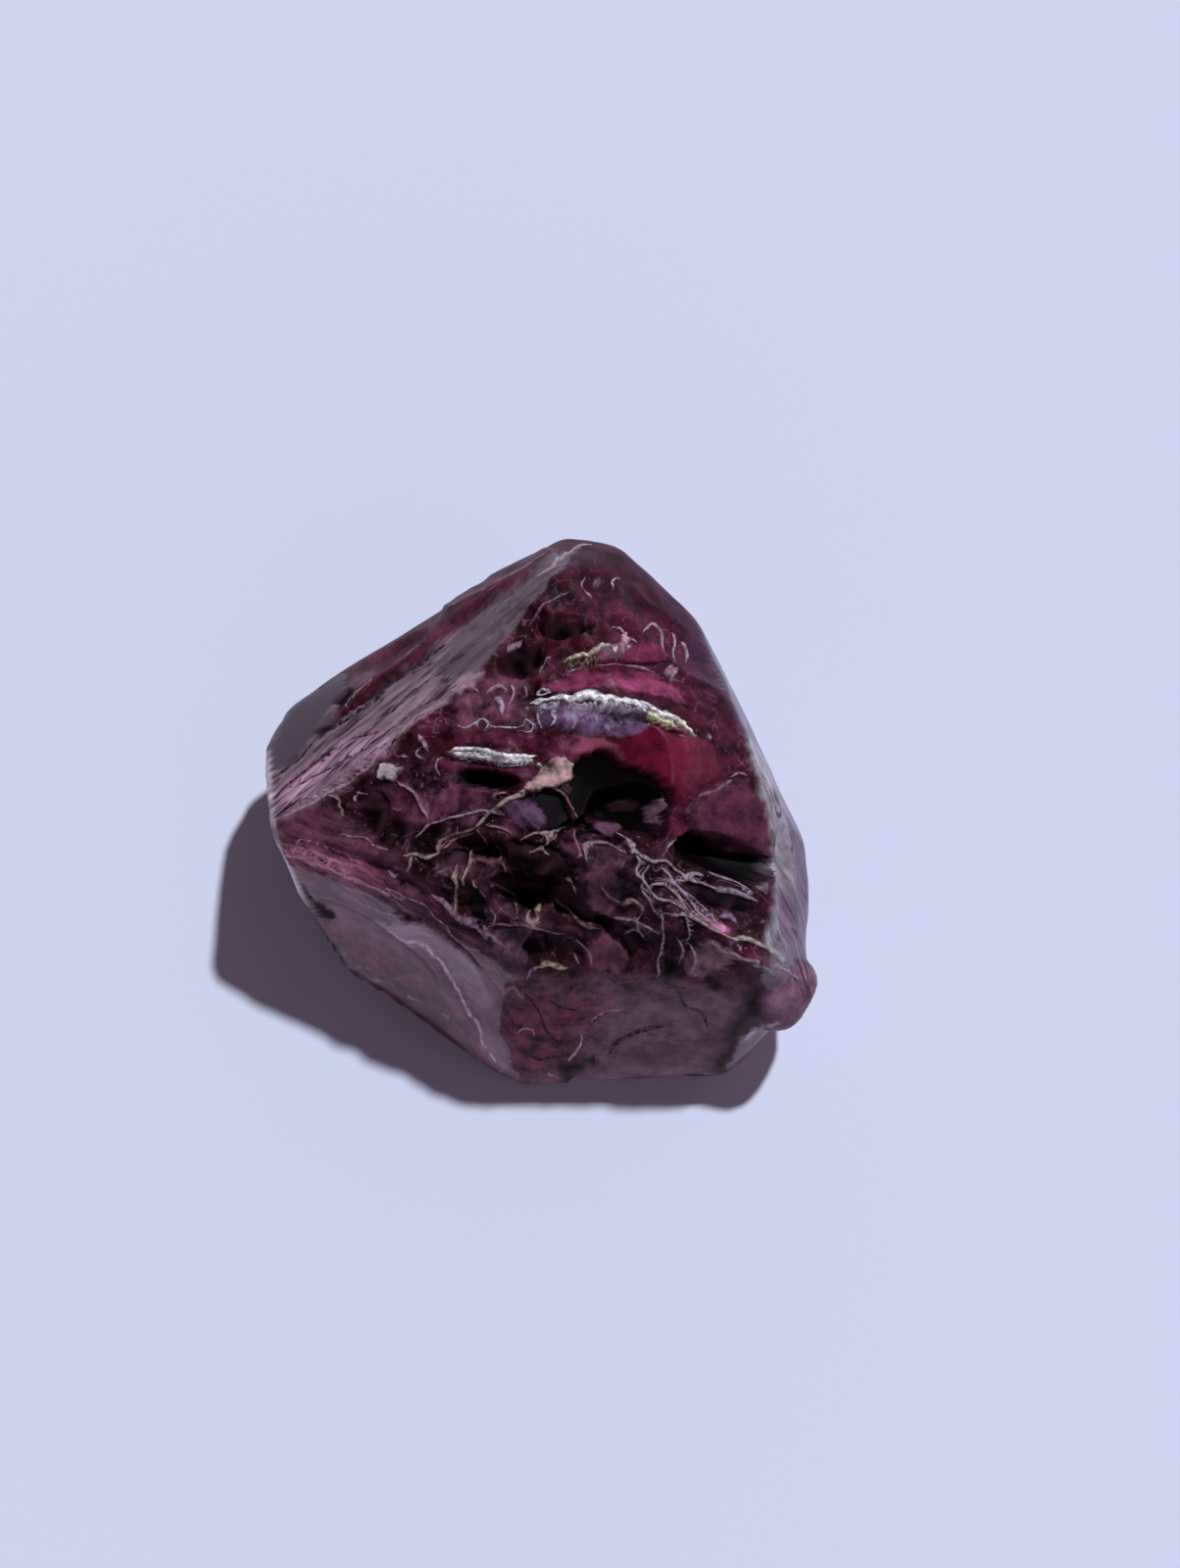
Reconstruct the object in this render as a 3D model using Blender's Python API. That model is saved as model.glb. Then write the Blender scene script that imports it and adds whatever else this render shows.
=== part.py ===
"""A rough garnet crystal as one closed stone: broken crystal faces, shell-like hollows, ribs, grooves and pits.

Lengths below are in millimetres, angles in degrees. The stone rests on its lowest face at Z = 0, +Z is up, and
+Y points to the top of the picture seen from above.
"""

import math

import bmesh
import bpy
from mathutils import Matrix, Vector

MM = 0.001
CENTRE = Vector((0.0, 0.0, 3.6))
BLANK_SIZE = 40.0
BASE_ALLOWANCE = 0.5
SKIN_CELL = 0.12
SKIN_TRIANGLES = 7000
BOWL_SEGMENTS = 32
BOWL_RINGS = 20
BOWL_LIFT = 0.35
STRAND_STEPS = 5
STRAND_TIP = 0.5
STRAND_WELD = 0.01
RIB_SINK = 0.2
GROOVE_LIFT = 0.1
CREASE_ANGLE = 30.0

# Broken and grown faces: direction the face looks towards round +Z, its tilt from level, distance from CENTRE.
FACES = {
    "base": (0.0, 180.0, 3.60),
    "strip": (139.0, 40.0, 4.55),
    "left_facet": (138.0, 48.0, 5.35),
    "end_facet": (129.0, 52.0, 5.20),
    "outer_strip": (122.0, 66.0, 5.75),
    "top_left": (-172.0, 15.0, 3.50),
    "pink_band": (-116.0, 44.0, 4.25),
    "top_back": (131.0, 9.0, 3.50),
    "top_right": (-3.0, 28.0, 4.60),
    "shoulder_in": (41.0, 38.0, 4.80),
    "shoulder_out": (44.0, 55.0, 5.55),
    "shoulder_back": (81.0, 58.0, 6.60),
    "front_left": (-117.0, 61.0, 4.80),
    "front_brow": (-92.0, 45.0, 4.60),
    "front": (-91.0, 59.0, 5.10),
    "right_back": (25.0, 78.0, 6.15),
    "right_mid": (-5.0, 66.0, 6.85),
    "front_right": (-59.0, 68.0, 7.50),
    "side_left": (-166.0, 100.0, 7.20),
    "side_far_left": (159.0, 106.0, 7.65),
    "side_back_left": (122.0, 110.0, 6.00),
    "side_back": (81.0, 112.0, 7.40),
    "side_back_right": (44.0, 114.0, 6.45),
    "side_right_back": (26.0, 112.0, 6.05),
    "side_right": (5.0, 114.0, 6.95),
    "side_front_right": (-28.0, 110.0, 8.75),
    "side_front": (-86.0, 106.0, 8.30),
    "side_front_left": (-127.0, 112.0, 7.30),
    "side_left_front": (-164.0, 108.0, 7.00),
}
UPPER_FACES = [name for name, (_, tilt, _) in FACES.items() if tilt < 90.0]

# Large shell-like hollows: face, plan X and Y of the two ends, width, depth.
HOLLOWS = {
    "terrace": ("top_back", (-0.9, 0.5), (5.4, -0.9), 4.4, 0.7),
    "arch": ("top_back", (0.9, -0.5), (4.0, -1.2), 2.5, 1.7),
    "arch_foot": ("top_back", (0.5, -1.0), (2.4, -1.9), 1.3, 1.5),
    "wedge": ("top_right", (3.9, -1.5), (6.5, -2.4), 1.1, 0.7),
    "slit": ("top_left", (-2.6, 0.1), (-0.2, 0.0), 0.6, 0.6),
    "pocket_left": ("top_left", (-5.4, -0.3), (-3.9, -0.9), 1.2, 0.4),
    "pocket_low": ("top_left", (-3.1, -1.9), (-0.9, -2.2), 1.5, 0.6),
    "pocket_deep": ("pink_band", (-1.6, -2.9), (1.4, -3.7), 1.6, 0.6),
    "upper_dark": ("top_back", (-0.1, 4.4), (1.6, 4.7), 0.8, 0.4),
    "upper_pit": ("top_back", (-1.2, 3.3), (0.1, 4.0), 0.9, 0.45),
    "shell_low": ("front_left", (-6.8, -2.6), (-1.9, -6.8), 3.6, 0.6),
    "shell_high": ("front_left", (-3.6, -3.5), (-0.9, -6.9), 2.3, 0.55),
    "shell_pit": ("front_left", (-6.9, -2.2), (-6.0, -3.2), 0.6, 0.45),
    "front_dish": ("front", (0.4, -5.9), (5.6, -6.4), 4.0, 0.2),
    "front_chip": ("side_front", (0.3, -7.6), (2.2, -7.6), 1.2, 0.4),
    "notch": ("outer_strip", (-5.9, 3.2), (-3.1, 4.9), 1.3, 0.35),
    "shoulder_scar": ("shoulder_out", (2.6, 5.4), (5.4, 3.0), 1.9, 0.22),
    "right_scar": ("right_mid", (6.8, -0.9), (7.0, -4.2), 1.2, 0.35),
    "back_scar": ("side_back_left", (-4.6, 2.6), (0.6, 5.9), 3.0, 0.5),
    "corner_scar": ("side_back", (-0.4, 6.8), (2.6, 6.2), 2.6, 0.5),
    "flank_scar": ("side_right_back", (4.8, 3.4), (6.7, 0.0), 2.4, 0.45),
    "left_scar": ("side_left", (-6.9, -0.6), (-7.2, 1.6), 3.2, 0.4),
    "left_chip": ("side_left_front", (-6.4, -1.9), (-5.6, -4.2), 1.8, 0.4),
}

# Grooves and cracks: width, plan points along the line.
GROOVES = {
    "lens": (0.46, ((-6.2, 1.8), (-4.2, 3.4), (-1.4, 5.5))),
    "growth_a": (0.24, ((-7.0, 0.3), (-5.2, 1.7), (-3.4, 3.1))),
    "growth_b": (0.20, ((-7.1, -0.2), (-5.6, 0.7), (-3.6, 1.9))),
    "growth_c": (0.22, ((-4.6, 1.9), (-3.2, 3.0), (-1.6, 4.5))),
    "growth_d": (0.20, ((-6.4, 0.9), (-5.0, 2.0), (-3.0, 3.6))),
    "crack_a": (0.20, ((1.6, -6.4), (2.1, -6.0), (2.8, -6.0))),
    "crack_b": (0.20, ((2.3, -6.9), (2.7, -6.6), (3.5, -6.3))),
    "crack_c": (0.50, ((6.0, -5.3), (6.0, -5.9), (5.9, -6.6))),
    "flank_line": (0.25, ((6.1, 2.0), (6.5, 0.9), (6.9, -0.2))),
}

# Ribs, ledges and threads of stone: width, plan points along the line.
RIBS = {
    "main": (1.15, ((-0.5, 2.2), (1.2, 2.6), (2.8, 2.4), (4.2, 1.5))),
    "upper": (0.66, ((0.3, 3.2), (1.5, 3.6), (2.7, 4.1))),
    "line": (0.34, ((0.3, 3.0), (1.9, 3.15), (3.7, 3.0))),
    "left": (0.72, ((-2.7, 0.8), (-1.3, 0.85), (0.1, 0.5))),
    "thin": (0.40, ((-2.4, 1.4), (-1.2, 1.7), (0.0, 1.5))),
    "crest": (0.50, ((-3.6, -1.7), (-1.9, -1.3), (-0.4, -0.7), (0.6, 0.2))),
    "band_a": (0.46, ((-7.0, -1.6), (-3.6, -2.9), (-0.4, -4.8))),
    "band_b": (0.34, ((-6.6, -1.2), (-3.6, -2.2), (-1.4, -3.2))),
    "brow": (0.48, ((2.6, -2.2), (4.4, -3.0), (6.3, -3.3))),
    "arm": (0.34, ((-3.8, 0.3), (-3.4, -0.3), (-3.0, -0.9))),
    "hook": (0.34, ((-1.7, -1.5), (-2.3, -2.7), (-2.2, -3.8))),
    "web": (0.36, ((2.7, -2.4), (3.6, -3.3), (4.9, -4.1))),
    "slab": (1.00, ((-2.9, 5.0), (-1.1, 6.1), (0.6, 7.0))),
}

# Rough ground on the upper side, where crests run between small pits: centre, half length, half width, turn.
ROUGH_GROUND = (
    ((-3.6, -0.9), 2.6, 1.6, -15.0),
    ((1.2, -3.3), 5.2, 1.9, -14.0),
    ((0.8, 4.4), 2.4, 1.6, 30.0),
    ((4.4, 1.2), 1.6, 1.5, 0.0),
    ((-1.2, 1.6), 2.4, 1.3, 0.0),
)
ROUGH_FLOOR = 3.0
ROUGH_FADE_START = 0.8
ROUGH_FADE_END = 1.2
PIT_SPACING = 1.25
PIT_DEPTH = 0.75
GRIT_SPACING = 0.45
GRIT_DEPTH = 0.10
WAVE_SPACING = 2.6
WAVE_DEPTH = 0.34

KNOB_CENTRE = (6.3, -4.95, 2.45)
KNOB_SIZE = (2.7, 2.4, 3.0)
KNOB_TURN = -28.0
KNOB_LEAN = 24.0
KNOB_WEAR = 0.8
KNOB_WEAR_STEPS = 2
KNOB_WEAR_PROFILE = 0.5


def face_plane(name):
    """Outward direction of a face and the foot of the line from CENTRE that meets it square."""
    azimuth, tilt, reach = FACES[name]
    out = Vector((1.0, 0.0, 0.0))
    out.rotate(Matrix.Rotation(math.radians(tilt - 90.0), 3, "Y"))
    out.rotate(Matrix.Rotation(math.radians(azimuth), 3, "Z"))
    return out, CENTRE + out * reach


def on_face(name, plan):
    """The point of a face straight above or below a plan position."""
    out, foot = face_plane(name)
    x, y = plan
    z = foot.z - (out.x * (x - foot.x) + out.y * (y - foot.y)) / out.z
    return Vector((x, y, z))


def on_top(plan):
    """The top of the faceted stone over a plan position, and the outward direction there."""
    name = min(UPPER_FACES, key=lambda face: on_face(face, plan).z)
    return on_face(name, plan), face_plane(name)[0]


def link_mesh(name, bm):
    mesh = bpy.data.meshes.new(name)
    bm.to_mesh(mesh)
    bm.free()
    obj = bpy.data.objects.new(name, mesh)
    bpy.context.scene.collection.objects.link(obj)
    return obj


def cut_and_fill(bm, point, out):
    """Cuts away all that lies beyond a plane and closes the cut."""
    geom = bm.verts[:] + bm.edges[:] + bm.faces[:]
    cut = bmesh.ops.bisect_plane(bm, geom=geom, plane_co=point, plane_no=out, clear_outer=True)
    rim = [part for part in cut["geom_cut"] if isinstance(part, bmesh.types.BMEdge)]
    bmesh.ops.contextual_create(bm, geom=rim)


def crystal_body():
    """A large cube cut back to every face in turn, left a little thick under the base."""
    bm = bmesh.new()
    bmesh.ops.create_cube(bm, size=BLANK_SIZE * MM)
    for name in FACES:
        out, foot = face_plane(name)
        if name == "base":
            foot = foot + out * BASE_ALLOWANCE
        cut_and_fill(bm, foot * MM, out)
    bmesh.ops.recalc_face_normals(bm, faces=bm.faces[:])
    return link_mesh("faceted_body", bm)


def hollow(name):
    """A long bowl whose rim on the face has the given length and width."""
    face, start, end, width, depth = HOLLOWS[name]
    out, _ = face_plane(face)
    first = on_face(face, start)
    last = on_face(face, end)
    along = last - first
    length = along.length
    along.normalize()
    across = out.cross(along)
    spread = 1.0 / math.sqrt(1.0 - BOWL_LIFT**2)
    tall = depth / (1.0 - BOWL_LIFT)
    bm = bmesh.new()
    bmesh.ops.create_uvsphere(bm, u_segments=BOWL_SEGMENTS, v_segments=BOWL_RINGS, radius=1.0)
    size = Matrix.Diagonal((length * spread / 2.0, width * spread / 2.0, tall))
    frame = Matrix((along, across, out)).transposed()
    place = Matrix.Translation(((first + last) / 2.0 + out * BOWL_LIFT * tall) * MM)
    bmesh.ops.transform(bm, matrix=place @ (frame @ size * MM).to_4x4(), verts=bm.verts[:])
    return link_mesh("hollow_" + name, bm)


def strand(name, width, points, lift):
    """A round strand over the plan points of the top, thinner at both ends, raised by lift times its width."""
    curve = bpy.data.curves.new(name, "CURVE")
    curve.dimensions = "3D"
    curve.resolution_u = STRAND_STEPS
    curve.bevel_depth = width / 2.0 * MM
    curve.bevel_resolution = 1
    curve.use_fill_caps = True
    spline = curve.splines.new("BEZIER")
    spline.bezier_points.add(len(points) - 1)
    for knot, plan in zip(spline.bezier_points, points):
        spot, out = on_top(plan)
        knot.co = (spot + out * lift * width) * MM
        knot.handle_left_type = "AUTO"
        knot.handle_right_type = "AUTO"
    spline.bezier_points[0].radius = STRAND_TIP
    spline.bezier_points[-1].radius = STRAND_TIP
    holder = bpy.data.objects.new(name + "_line", curve)
    bpy.context.scene.collection.objects.link(holder)
    bpy.context.view_layer.update()
    shape = bmesh.new()
    shape.from_mesh(holder.to_mesh())
    bpy.data.objects.remove(holder)
    bmesh.ops.remove_doubles(shape, verts=shape.verts[:], dist=STRAND_WELD * MM)
    bmesh.ops.recalc_face_normals(shape, faces=shape.faces[:])
    return link_mesh(name, shape)


def knob():
    """The stubby corner block that stands out low on the right."""
    bm = bmesh.new()
    bmesh.ops.create_cube(bm, size=1.0)
    size = Matrix.Diagonal(Vector(KNOB_SIZE) * MM).to_4x4()
    turn = Matrix.Rotation(math.radians(KNOB_TURN), 4, "Z") @ Matrix.Rotation(math.radians(KNOB_LEAN), 4, "Y")
    bmesh.ops.transform(bm, matrix=Matrix.Translation(Vector(KNOB_CENTRE) * MM) @ turn @ size, verts=bm.verts[:])
    bmesh.ops.bevel(
        bm,
        geom=bm.edges[:],
        offset=KNOB_WEAR * MM,
        segments=KNOB_WEAR_STEPS,
        profile=KNOB_WEAR_PROFILE,
        affect="EDGES",
    )
    return link_mesh("knob", bm)


def merge_into(stone, tool, operation):
    """Joins the tool to the stone or cuts it away, and keeps the tool out of sight."""
    step = stone.modifiers.new(tool.name, "BOOLEAN")
    step.operation = operation
    step.solver = "EXACT"
    step.object = tool
    tool.hide_render = True
    tool.display_type = "WIRE"


def set_in_stone(obj, name):
    """A new object holding the shape that the modifiers of another one give; the other one is removed."""
    graph = bpy.context.evaluated_depsgraph_get()
    mesh = bpy.data.meshes.new_from_object(obj.evaluated_get(graph))
    tools = [step.object for step in obj.modifiers if step.type == "BOOLEAN"]
    for used in [obj] + tools:
        bpy.data.objects.remove(used)
    result = bpy.data.objects.new(name, mesh)
    bpy.context.scene.collection.objects.link(result)
    return result


def rough_share(point):
    """How much of the rough ground lies at a point, from none to one."""
    share = 0.0
    for centre, half_length, half_width, turn in ROUGH_GROUND:
        away = Vector((point.x / MM - centre[0], point.y / MM - centre[1]))
        away.rotate(Matrix.Rotation(math.radians(-turn), 2))
        reach = math.hypot(away.x / half_length, away.y / half_width)
        left = (ROUGH_FADE_END - reach) / (ROUGH_FADE_END - ROUGH_FADE_START)
        share = max(share, min(1.0, max(0.0, left)))
    if point.z < ROUGH_FLOOR * MM:
        share = 0.0
    return share


def roughen(stone, name, kind, spacing, depth, group):
    """Moves the skin in and out by a procedural pattern; depth is the full travel."""
    pattern = bpy.data.textures.new(name, kind)
    pattern.noise_scale = spacing * MM
    if kind == "VORONOI":
        pattern.weight_1 = -1.0
        pattern.weight_2 = 1.0
        pattern.noise_intensity = 1.0
    step = stone.modifiers.new(name, "DISPLACE")
    step.texture = pattern
    step.texture_coords = "LOCAL"
    step.strength = depth * MM
    step.mid_level = 0.0 if kind == "VORONOI" else 0.5
    if group:
        step.vertex_group = group


def garnet_material():
    """Wine-red clear crystal."""
    material = bpy.data.materials.new("garnet_red_crystal")
    material.use_nodes = True
    shader = material.node_tree.nodes["Principled BSDF"]
    shader.inputs["Base Color"].default_value = (0.16, 0.03, 0.06, 1.0)
    shader.inputs["Roughness"].default_value = 0.18
    shader.inputs["IOR"].default_value = 1.77
    shader.inputs["Transmission Weight"].default_value = 0.35
    return material


for old in list(bpy.data.objects):
    bpy.data.objects.remove(old)

body = crystal_body()
merge_into(body, knob(), "UNION")
for name in HOLLOWS:
    merge_into(body, hollow(name), "DIFFERENCE")
skin = body.modifiers.new("skin", "REMESH")
skin.mode = "VOXEL"
skin.voxel_size = SKIN_CELL * MM
body = set_in_stone(body, "skinned_body")

rough = body.vertex_groups.new(name="rough_ground")
for vertex in body.data.vertices:
    share = rough_share(vertex.co)
    if share > 0.0:
        rough.add([vertex.index], share, "REPLACE")
roughen(body, "waves", "CLOUDS", WAVE_SPACING, WAVE_DEPTH, "")
roughen(body, "pits", "VORONOI", PIT_SPACING, -PIT_DEPTH, "rough_ground")
roughen(body, "grit", "CLOUDS", GRIT_SPACING, GRIT_DEPTH, "rough_ground")
thin_out = body.modifiers.new("thin_out", "DECIMATE")
thin_out.ratio = SKIN_TRIANGLES / (2.0 * len(body.data.polygons))
body = set_in_stone(body, "weathered_body")

trimmed = bmesh.new()
trimmed.from_mesh(body.data)
bpy.data.objects.remove(body)
cut_and_fill(trimmed, Vector((0.0, 0.0, 0.0)), Vector((0.0, 0.0, -1.0)))
stone = link_mesh("garnet_crystal", trimmed)

for name, (width, points) in RIBS.items():
    merge_into(stone, strand("rib_" + name, width, points, -RIB_SINK), "UNION")
for name, (width, points) in GROOVES.items():
    merge_into(stone, strand("groove_" + name, width, points, GROOVE_LIFT), "DIFFERENCE")

stone.data.materials.append(garnet_material())
stone.data.polygons.foreach_set("use_smooth", [True] * len(stone.data.polygons))
stone.data.set_sharp_from_angle(angle=math.radians(CREASE_ANGLE))
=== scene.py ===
import math

import bpy
import numpy as np
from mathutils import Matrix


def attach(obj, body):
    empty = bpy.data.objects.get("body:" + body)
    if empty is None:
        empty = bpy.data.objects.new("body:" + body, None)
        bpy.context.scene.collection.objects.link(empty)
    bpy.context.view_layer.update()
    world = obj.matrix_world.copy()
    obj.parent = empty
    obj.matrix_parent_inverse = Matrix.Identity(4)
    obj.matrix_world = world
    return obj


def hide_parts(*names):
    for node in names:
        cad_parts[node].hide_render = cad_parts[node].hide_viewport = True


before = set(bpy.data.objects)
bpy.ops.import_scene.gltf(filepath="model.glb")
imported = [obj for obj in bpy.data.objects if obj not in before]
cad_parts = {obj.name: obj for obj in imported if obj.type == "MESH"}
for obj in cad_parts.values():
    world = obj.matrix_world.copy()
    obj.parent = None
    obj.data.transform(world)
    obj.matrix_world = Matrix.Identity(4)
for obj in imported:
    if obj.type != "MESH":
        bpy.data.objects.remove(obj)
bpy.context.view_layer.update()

# The stone's body: one rough garnet, broken from a larger crystal. Flat growth faces and breaks bound it,
# and a rounded corner block sticks out low at the right. Lengths are in millimetres, angles in degrees; X
# and Y are plan positions with +Y to the narrow end.
MM = 0.001
CENTRE = np.array((0.0, 0.0, 3.6))
GRID_CELLS = 310
EDGE_SHARPNESS = 110.0

# Direction a face looks towards round +Z, its tilt from level, distance from CENTRE.
FACES = {
    "base": (0.0, 180.0, 3.60),
    "strip": (139.0, 40.0, 4.55),
    "left_facet": (138.0, 48.0, 5.35),
    "end_facet": (129.0, 52.0, 5.20),
    "outer_strip": (122.0, 66.0, 5.75),
    "top_left": (-172.0, 15.0, 3.50),
    "pink_band": (-116.0, 44.0, 4.25),
    "top_back": (131.0, 9.0, 3.50),
    "top_right": (-3.0, 28.0, 4.60),
    "shoulder_in": (41.0, 38.0, 4.80),
    "shoulder_out": (44.0, 55.0, 5.55),
    "shoulder_back": (81.0, 58.0, 6.60),
    "front_left": (-117.0, 61.0, 4.80),
    "front_brow": (-92.0, 45.0, 4.60),
    "front": (-91.0, 59.0, 5.10),
    "right_back": (25.0, 78.0, 6.15),
    "right_mid": (-5.0, 66.0, 6.85),
    "front_right": (-59.0, 68.0, 7.50),
    "side_left": (-166.0, 100.0, 7.20),
    "side_far_left": (159.0, 106.0, 7.65),
    "side_back_left": (122.0, 110.0, 6.00),
    "side_back": (81.0, 112.0, 7.40),
    "side_back_right": (44.0, 114.0, 6.45),
    "side_right_back": (26.0, 112.0, 6.05),
    "side_right": (5.0, 114.0, 6.95),
    "side_front_right": (-28.0, 110.0, 8.75),
    "side_front": (-86.0, 106.0, 8.30),
    "side_front_left": (-127.0, 112.0, 7.30),
    "side_left_front": (-164.0, 108.0, 7.00),
}

KNOB_CENTRE = np.array((6.2, -4.95, 2.45))
KNOB_SIZE = np.array((2.7, 2.4, 3.0))
KNOB_TURN = -28.0
KNOB_LEAN = 24.0
KNOB_ROUNDING = 3.2


def smooth_step(low, high, value):
    """0 below low, 1 above high, and an even rise between them."""
    share = np.clip((value - low) / (high - low), 0.0, 1.0)
    return share * share * (3.0 - 2.0 * share)


def grid_directions():
    """Directions from the middle of the stone: a square grid bent to a disc, whose middle is straight up.

    The disc radius runs from 0 to 1. Up to 0.68 the directions spread evenly over a level plane, so the
    upper side gets even cells. From there they turn down the sides, and the last of them gather under the
    base.
    """
    ticks = np.linspace(-1.0, 1.0, GRID_CELLS + 1)
    u, v = (side.ravel() for side in np.meshgrid(ticks, ticks, indexing="ij"))
    wide = np.abs(u) >= np.abs(v)
    big = np.where(wide, u, v)
    small = np.where(wide, v, u)
    turn = math.pi / 4.0 * small / np.where(big == 0.0, 1.0, big)
    turn = np.where(wide, turn, math.pi / 2.0 - turn)
    disc = np.abs(big)
    azimuth = np.arctan2(big * np.sin(turn), big * np.cos(turn))
    level = np.arctan(1.95 * disc / 0.68)
    down = np.radians(np.interp(disc, (0.68, 0.90, 0.97, 1.0), (62.85, 100.0, 122.0, 178.0)))
    tilt = np.where(disc < 0.68, level, down)
    return np.stack([np.sin(tilt) * np.cos(azimuth), np.sin(tilt) * np.sin(azimuth), np.cos(tilt)], 1)


def knob_reach(direction):
    """Distance from CENTRE to the far side of the corner block along each direction, 0 where it is missed."""
    c, s = math.cos(math.radians(KNOB_TURN)), math.sin(math.radians(KNOB_TURN))
    turn = np.array(((c, -s, 0.0), (s, c, 0.0), (0.0, 0.0, 1.0)))
    c, s = math.cos(math.radians(KNOB_LEAN)), math.sin(math.radians(KNOB_LEAN))
    lean = np.array(((c, 0.0, s), (0.0, 1.0, 0.0), (-s, 0.0, c)))
    reach = np.zeros(len(direction))
    near = direction @ (KNOB_CENTRE - CENTRE) > 6.5
    distance = np.linspace(5.0, 11.0, 240)
    spot = CENTRE + direction[near][:, None] * distance[:, None] - KNOB_CENTRE
    local = np.abs(spot @ (turn @ lean)) / (KNOB_SIZE / 2.0)
    inside = (local**KNOB_ROUNDING).sum(2) < 1.0
    reach[near] = (inside * distance).max(1)
    return reach


direction = grid_directions()
azimuth, tilt, face_reach = np.array(list(FACES.values())).T
azimuth, tilt = np.radians(azimuth), np.radians(tilt)
normals = np.stack([np.sin(tilt) * np.cos(azimuth), np.sin(tilt) * np.sin(azimuth), np.cos(tilt)], 1)
share = (np.maximum(direction @ normals.T, 0.0) / face_reach) ** EDGE_SHARPNESS
body_reach = share.sum(1) ** (-1.0 / EDGE_SHARPNESS)
face_share = dict(zip(FACES, (share / share.sum(1)[:, None]).T))
knob_out = knob_reach(direction)
knob_share = smooth_step(-0.1, 0.15, knob_out - body_reach)
point = CENTRE + direction * np.maximum(body_reach, knob_out)[:, None]
plan = point[:, :2]
upper_side = sum(face_share[name] for name, (_, lean, _) in FACES.items() if lean < 90.0)

# Shell-like hollows, which a glassy crystal leaves where it breaks: each is part of a long bowl, sunk from
# a face. Face, plan X and Y of the two ends, width, depth.
HOLLOWS = {
    "terrace": ("top_back", (-0.9, 0.5), (5.4, -0.9), 4.4, 0.7),
    "arch": ("top_back", (0.9, -0.5), (4.0, -1.2), 2.5, 1.3),
    "arch_foot": ("top_back", (0.5, -1.0), (2.4, -1.9), 1.3, 1.1),
    "wedge": ("top_right", (3.9, -1.5), (6.5, -2.4), 1.1, 0.6),
    "slit": ("top_left", (-2.6, 0.1), (-0.2, 0.0), 0.6, 0.5),
    "pocket_low": ("top_left", (-3.1, -1.9), (-0.9, -2.2), 1.5, 0.6),
    "pocket_deep": ("pink_band", (-1.6, -2.9), (1.4, -3.7), 1.6, 0.6),
    "upper_dark": ("top_back", (-0.1, 4.4), (1.6, 4.7), 0.8, 0.3),
    "upper_pit": ("top_back", (-1.2, 3.3), (0.1, 4.0), 0.9, 0.35),
    "shell_low": ("front_left", (-6.5, -2.8), (-1.9, -6.8), 2.9, 0.4),
    "shell_high": ("front_left", (-3.6, -3.5), (-0.9, -6.9), 2.3, 0.55),
    "front_dish": ("front", (0.4, -5.9), (5.6, -6.4), 4.0, 0.2),
    "front_chip": ("side_front", (0.3, -7.6), (2.2, -7.6), 1.2, 0.4),
    "notch": ("outer_strip", (-5.9, 3.2), (-3.1, 4.9), 1.3, 0.35),
    "shoulder_scar": ("shoulder_out", (2.6, 5.4), (5.4, 3.0), 1.9, 0.22),
    "right_scar": ("right_mid", (6.8, -0.9), (7.0, -4.2), 1.2, 0.35),
    "back_scar": ("side_back_left", (-4.6, 2.6), (0.6, 5.9), 3.0, 0.5),
    "corner_scar": ("side_back", (-0.4, 6.8), (2.6, 6.2), 2.6, 0.5),
    "flank_scar": ("side_right_back", (4.8, 3.4), (6.7, 0.0), 2.4, 0.45),
    "left_scar": ("side_left", (-6.9, -0.6), (-7.2, 1.6), 3.2, 0.4),
    "left_chip": ("side_left_front", (-6.2, -2.2), (-5.6, -4.0), 1.2, 0.2),
}
BOWL_LIFT = 0.35
DEEPEST = 2.2
RAGGED_SHARE = 0.12
RAGGED_MOST = 0.15
GRAZING = 0.2


def lattice_noise(place, spacing, seed):
    """Soft random values from -1 to 1: a random number at each lattice corner, blended in between."""
    table = np.random.default_rng(seed).uniform(-1.0, 1.0, (32, 32, 32))
    scaled = place / spacing
    cell = np.floor(scaled).astype(int)
    part = scaled - cell
    part = part * part * (3.0 - 2.0 * part)
    total = np.zeros(len(place))
    for corner in np.ndindex(2, 2, 2):
        weight = np.prod(np.where(np.array(corner) == 1, part, 1.0 - part), axis=1)
        i, j, k = ((cell + corner) % 32).T
        total += weight * table[i, j, k]
    return total


def foot_on(face, place):
    """The point of a face straight above or below a plan position."""
    index = list(FACES).index(face)
    out = normals[index]
    foot = CENTRE + out * face_reach[index]
    x, y = place
    return np.array((x, y, foot[2] - (out[0] * (x - foot[0]) + out[1] * (y - foot[1])) / out[2]))


def hollow_out(point, face, start, end, width, depth):
    """Moves points in to the floor of a long bowl that is sunk in a face between two plan positions."""
    out = normals[list(FACES).index(face)]
    first, last = foot_on(face, start), foot_on(face, end)
    length = np.linalg.norm(last - first)
    along = (last - first) / length
    across = np.cross(out, along)
    spread = 1.0 / math.sqrt(1.0 - BOWL_LIFT**2)
    away = point - (first + last) / 2.0
    ragged = min(RAGGED_SHARE * width, RAGGED_MOST)
    a = (away @ along + ragged * warp[:, 0]) / (length * spread / 2.0)
    b = (away @ across + ragged * warp[:, 1]) / (width * spread / 2.0)
    inside = np.sqrt(np.clip(1.0 - a**2 - b**2, 0.0, 1.0))
    floor = depth / (1.0 - BOWL_LIFT) * (BOWL_LIFT - inside)
    facing = direction @ out
    sunk = np.where((inside > 0.0) & (facing > GRAZING), np.clip(away @ out - floor, 0.0, DEEPEST), 0.0)
    return point - direction * (sunk / np.maximum(facing, GRAZING))[:, None]


warp = np.stack([lattice_noise(point, 0.9, 11), lattice_noise(point, 0.9, 12)], 1)
for face, start, end, width, depth in HOLLOWS.values():
    point = hollow_out(point, face, start, end, width, depth)

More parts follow.
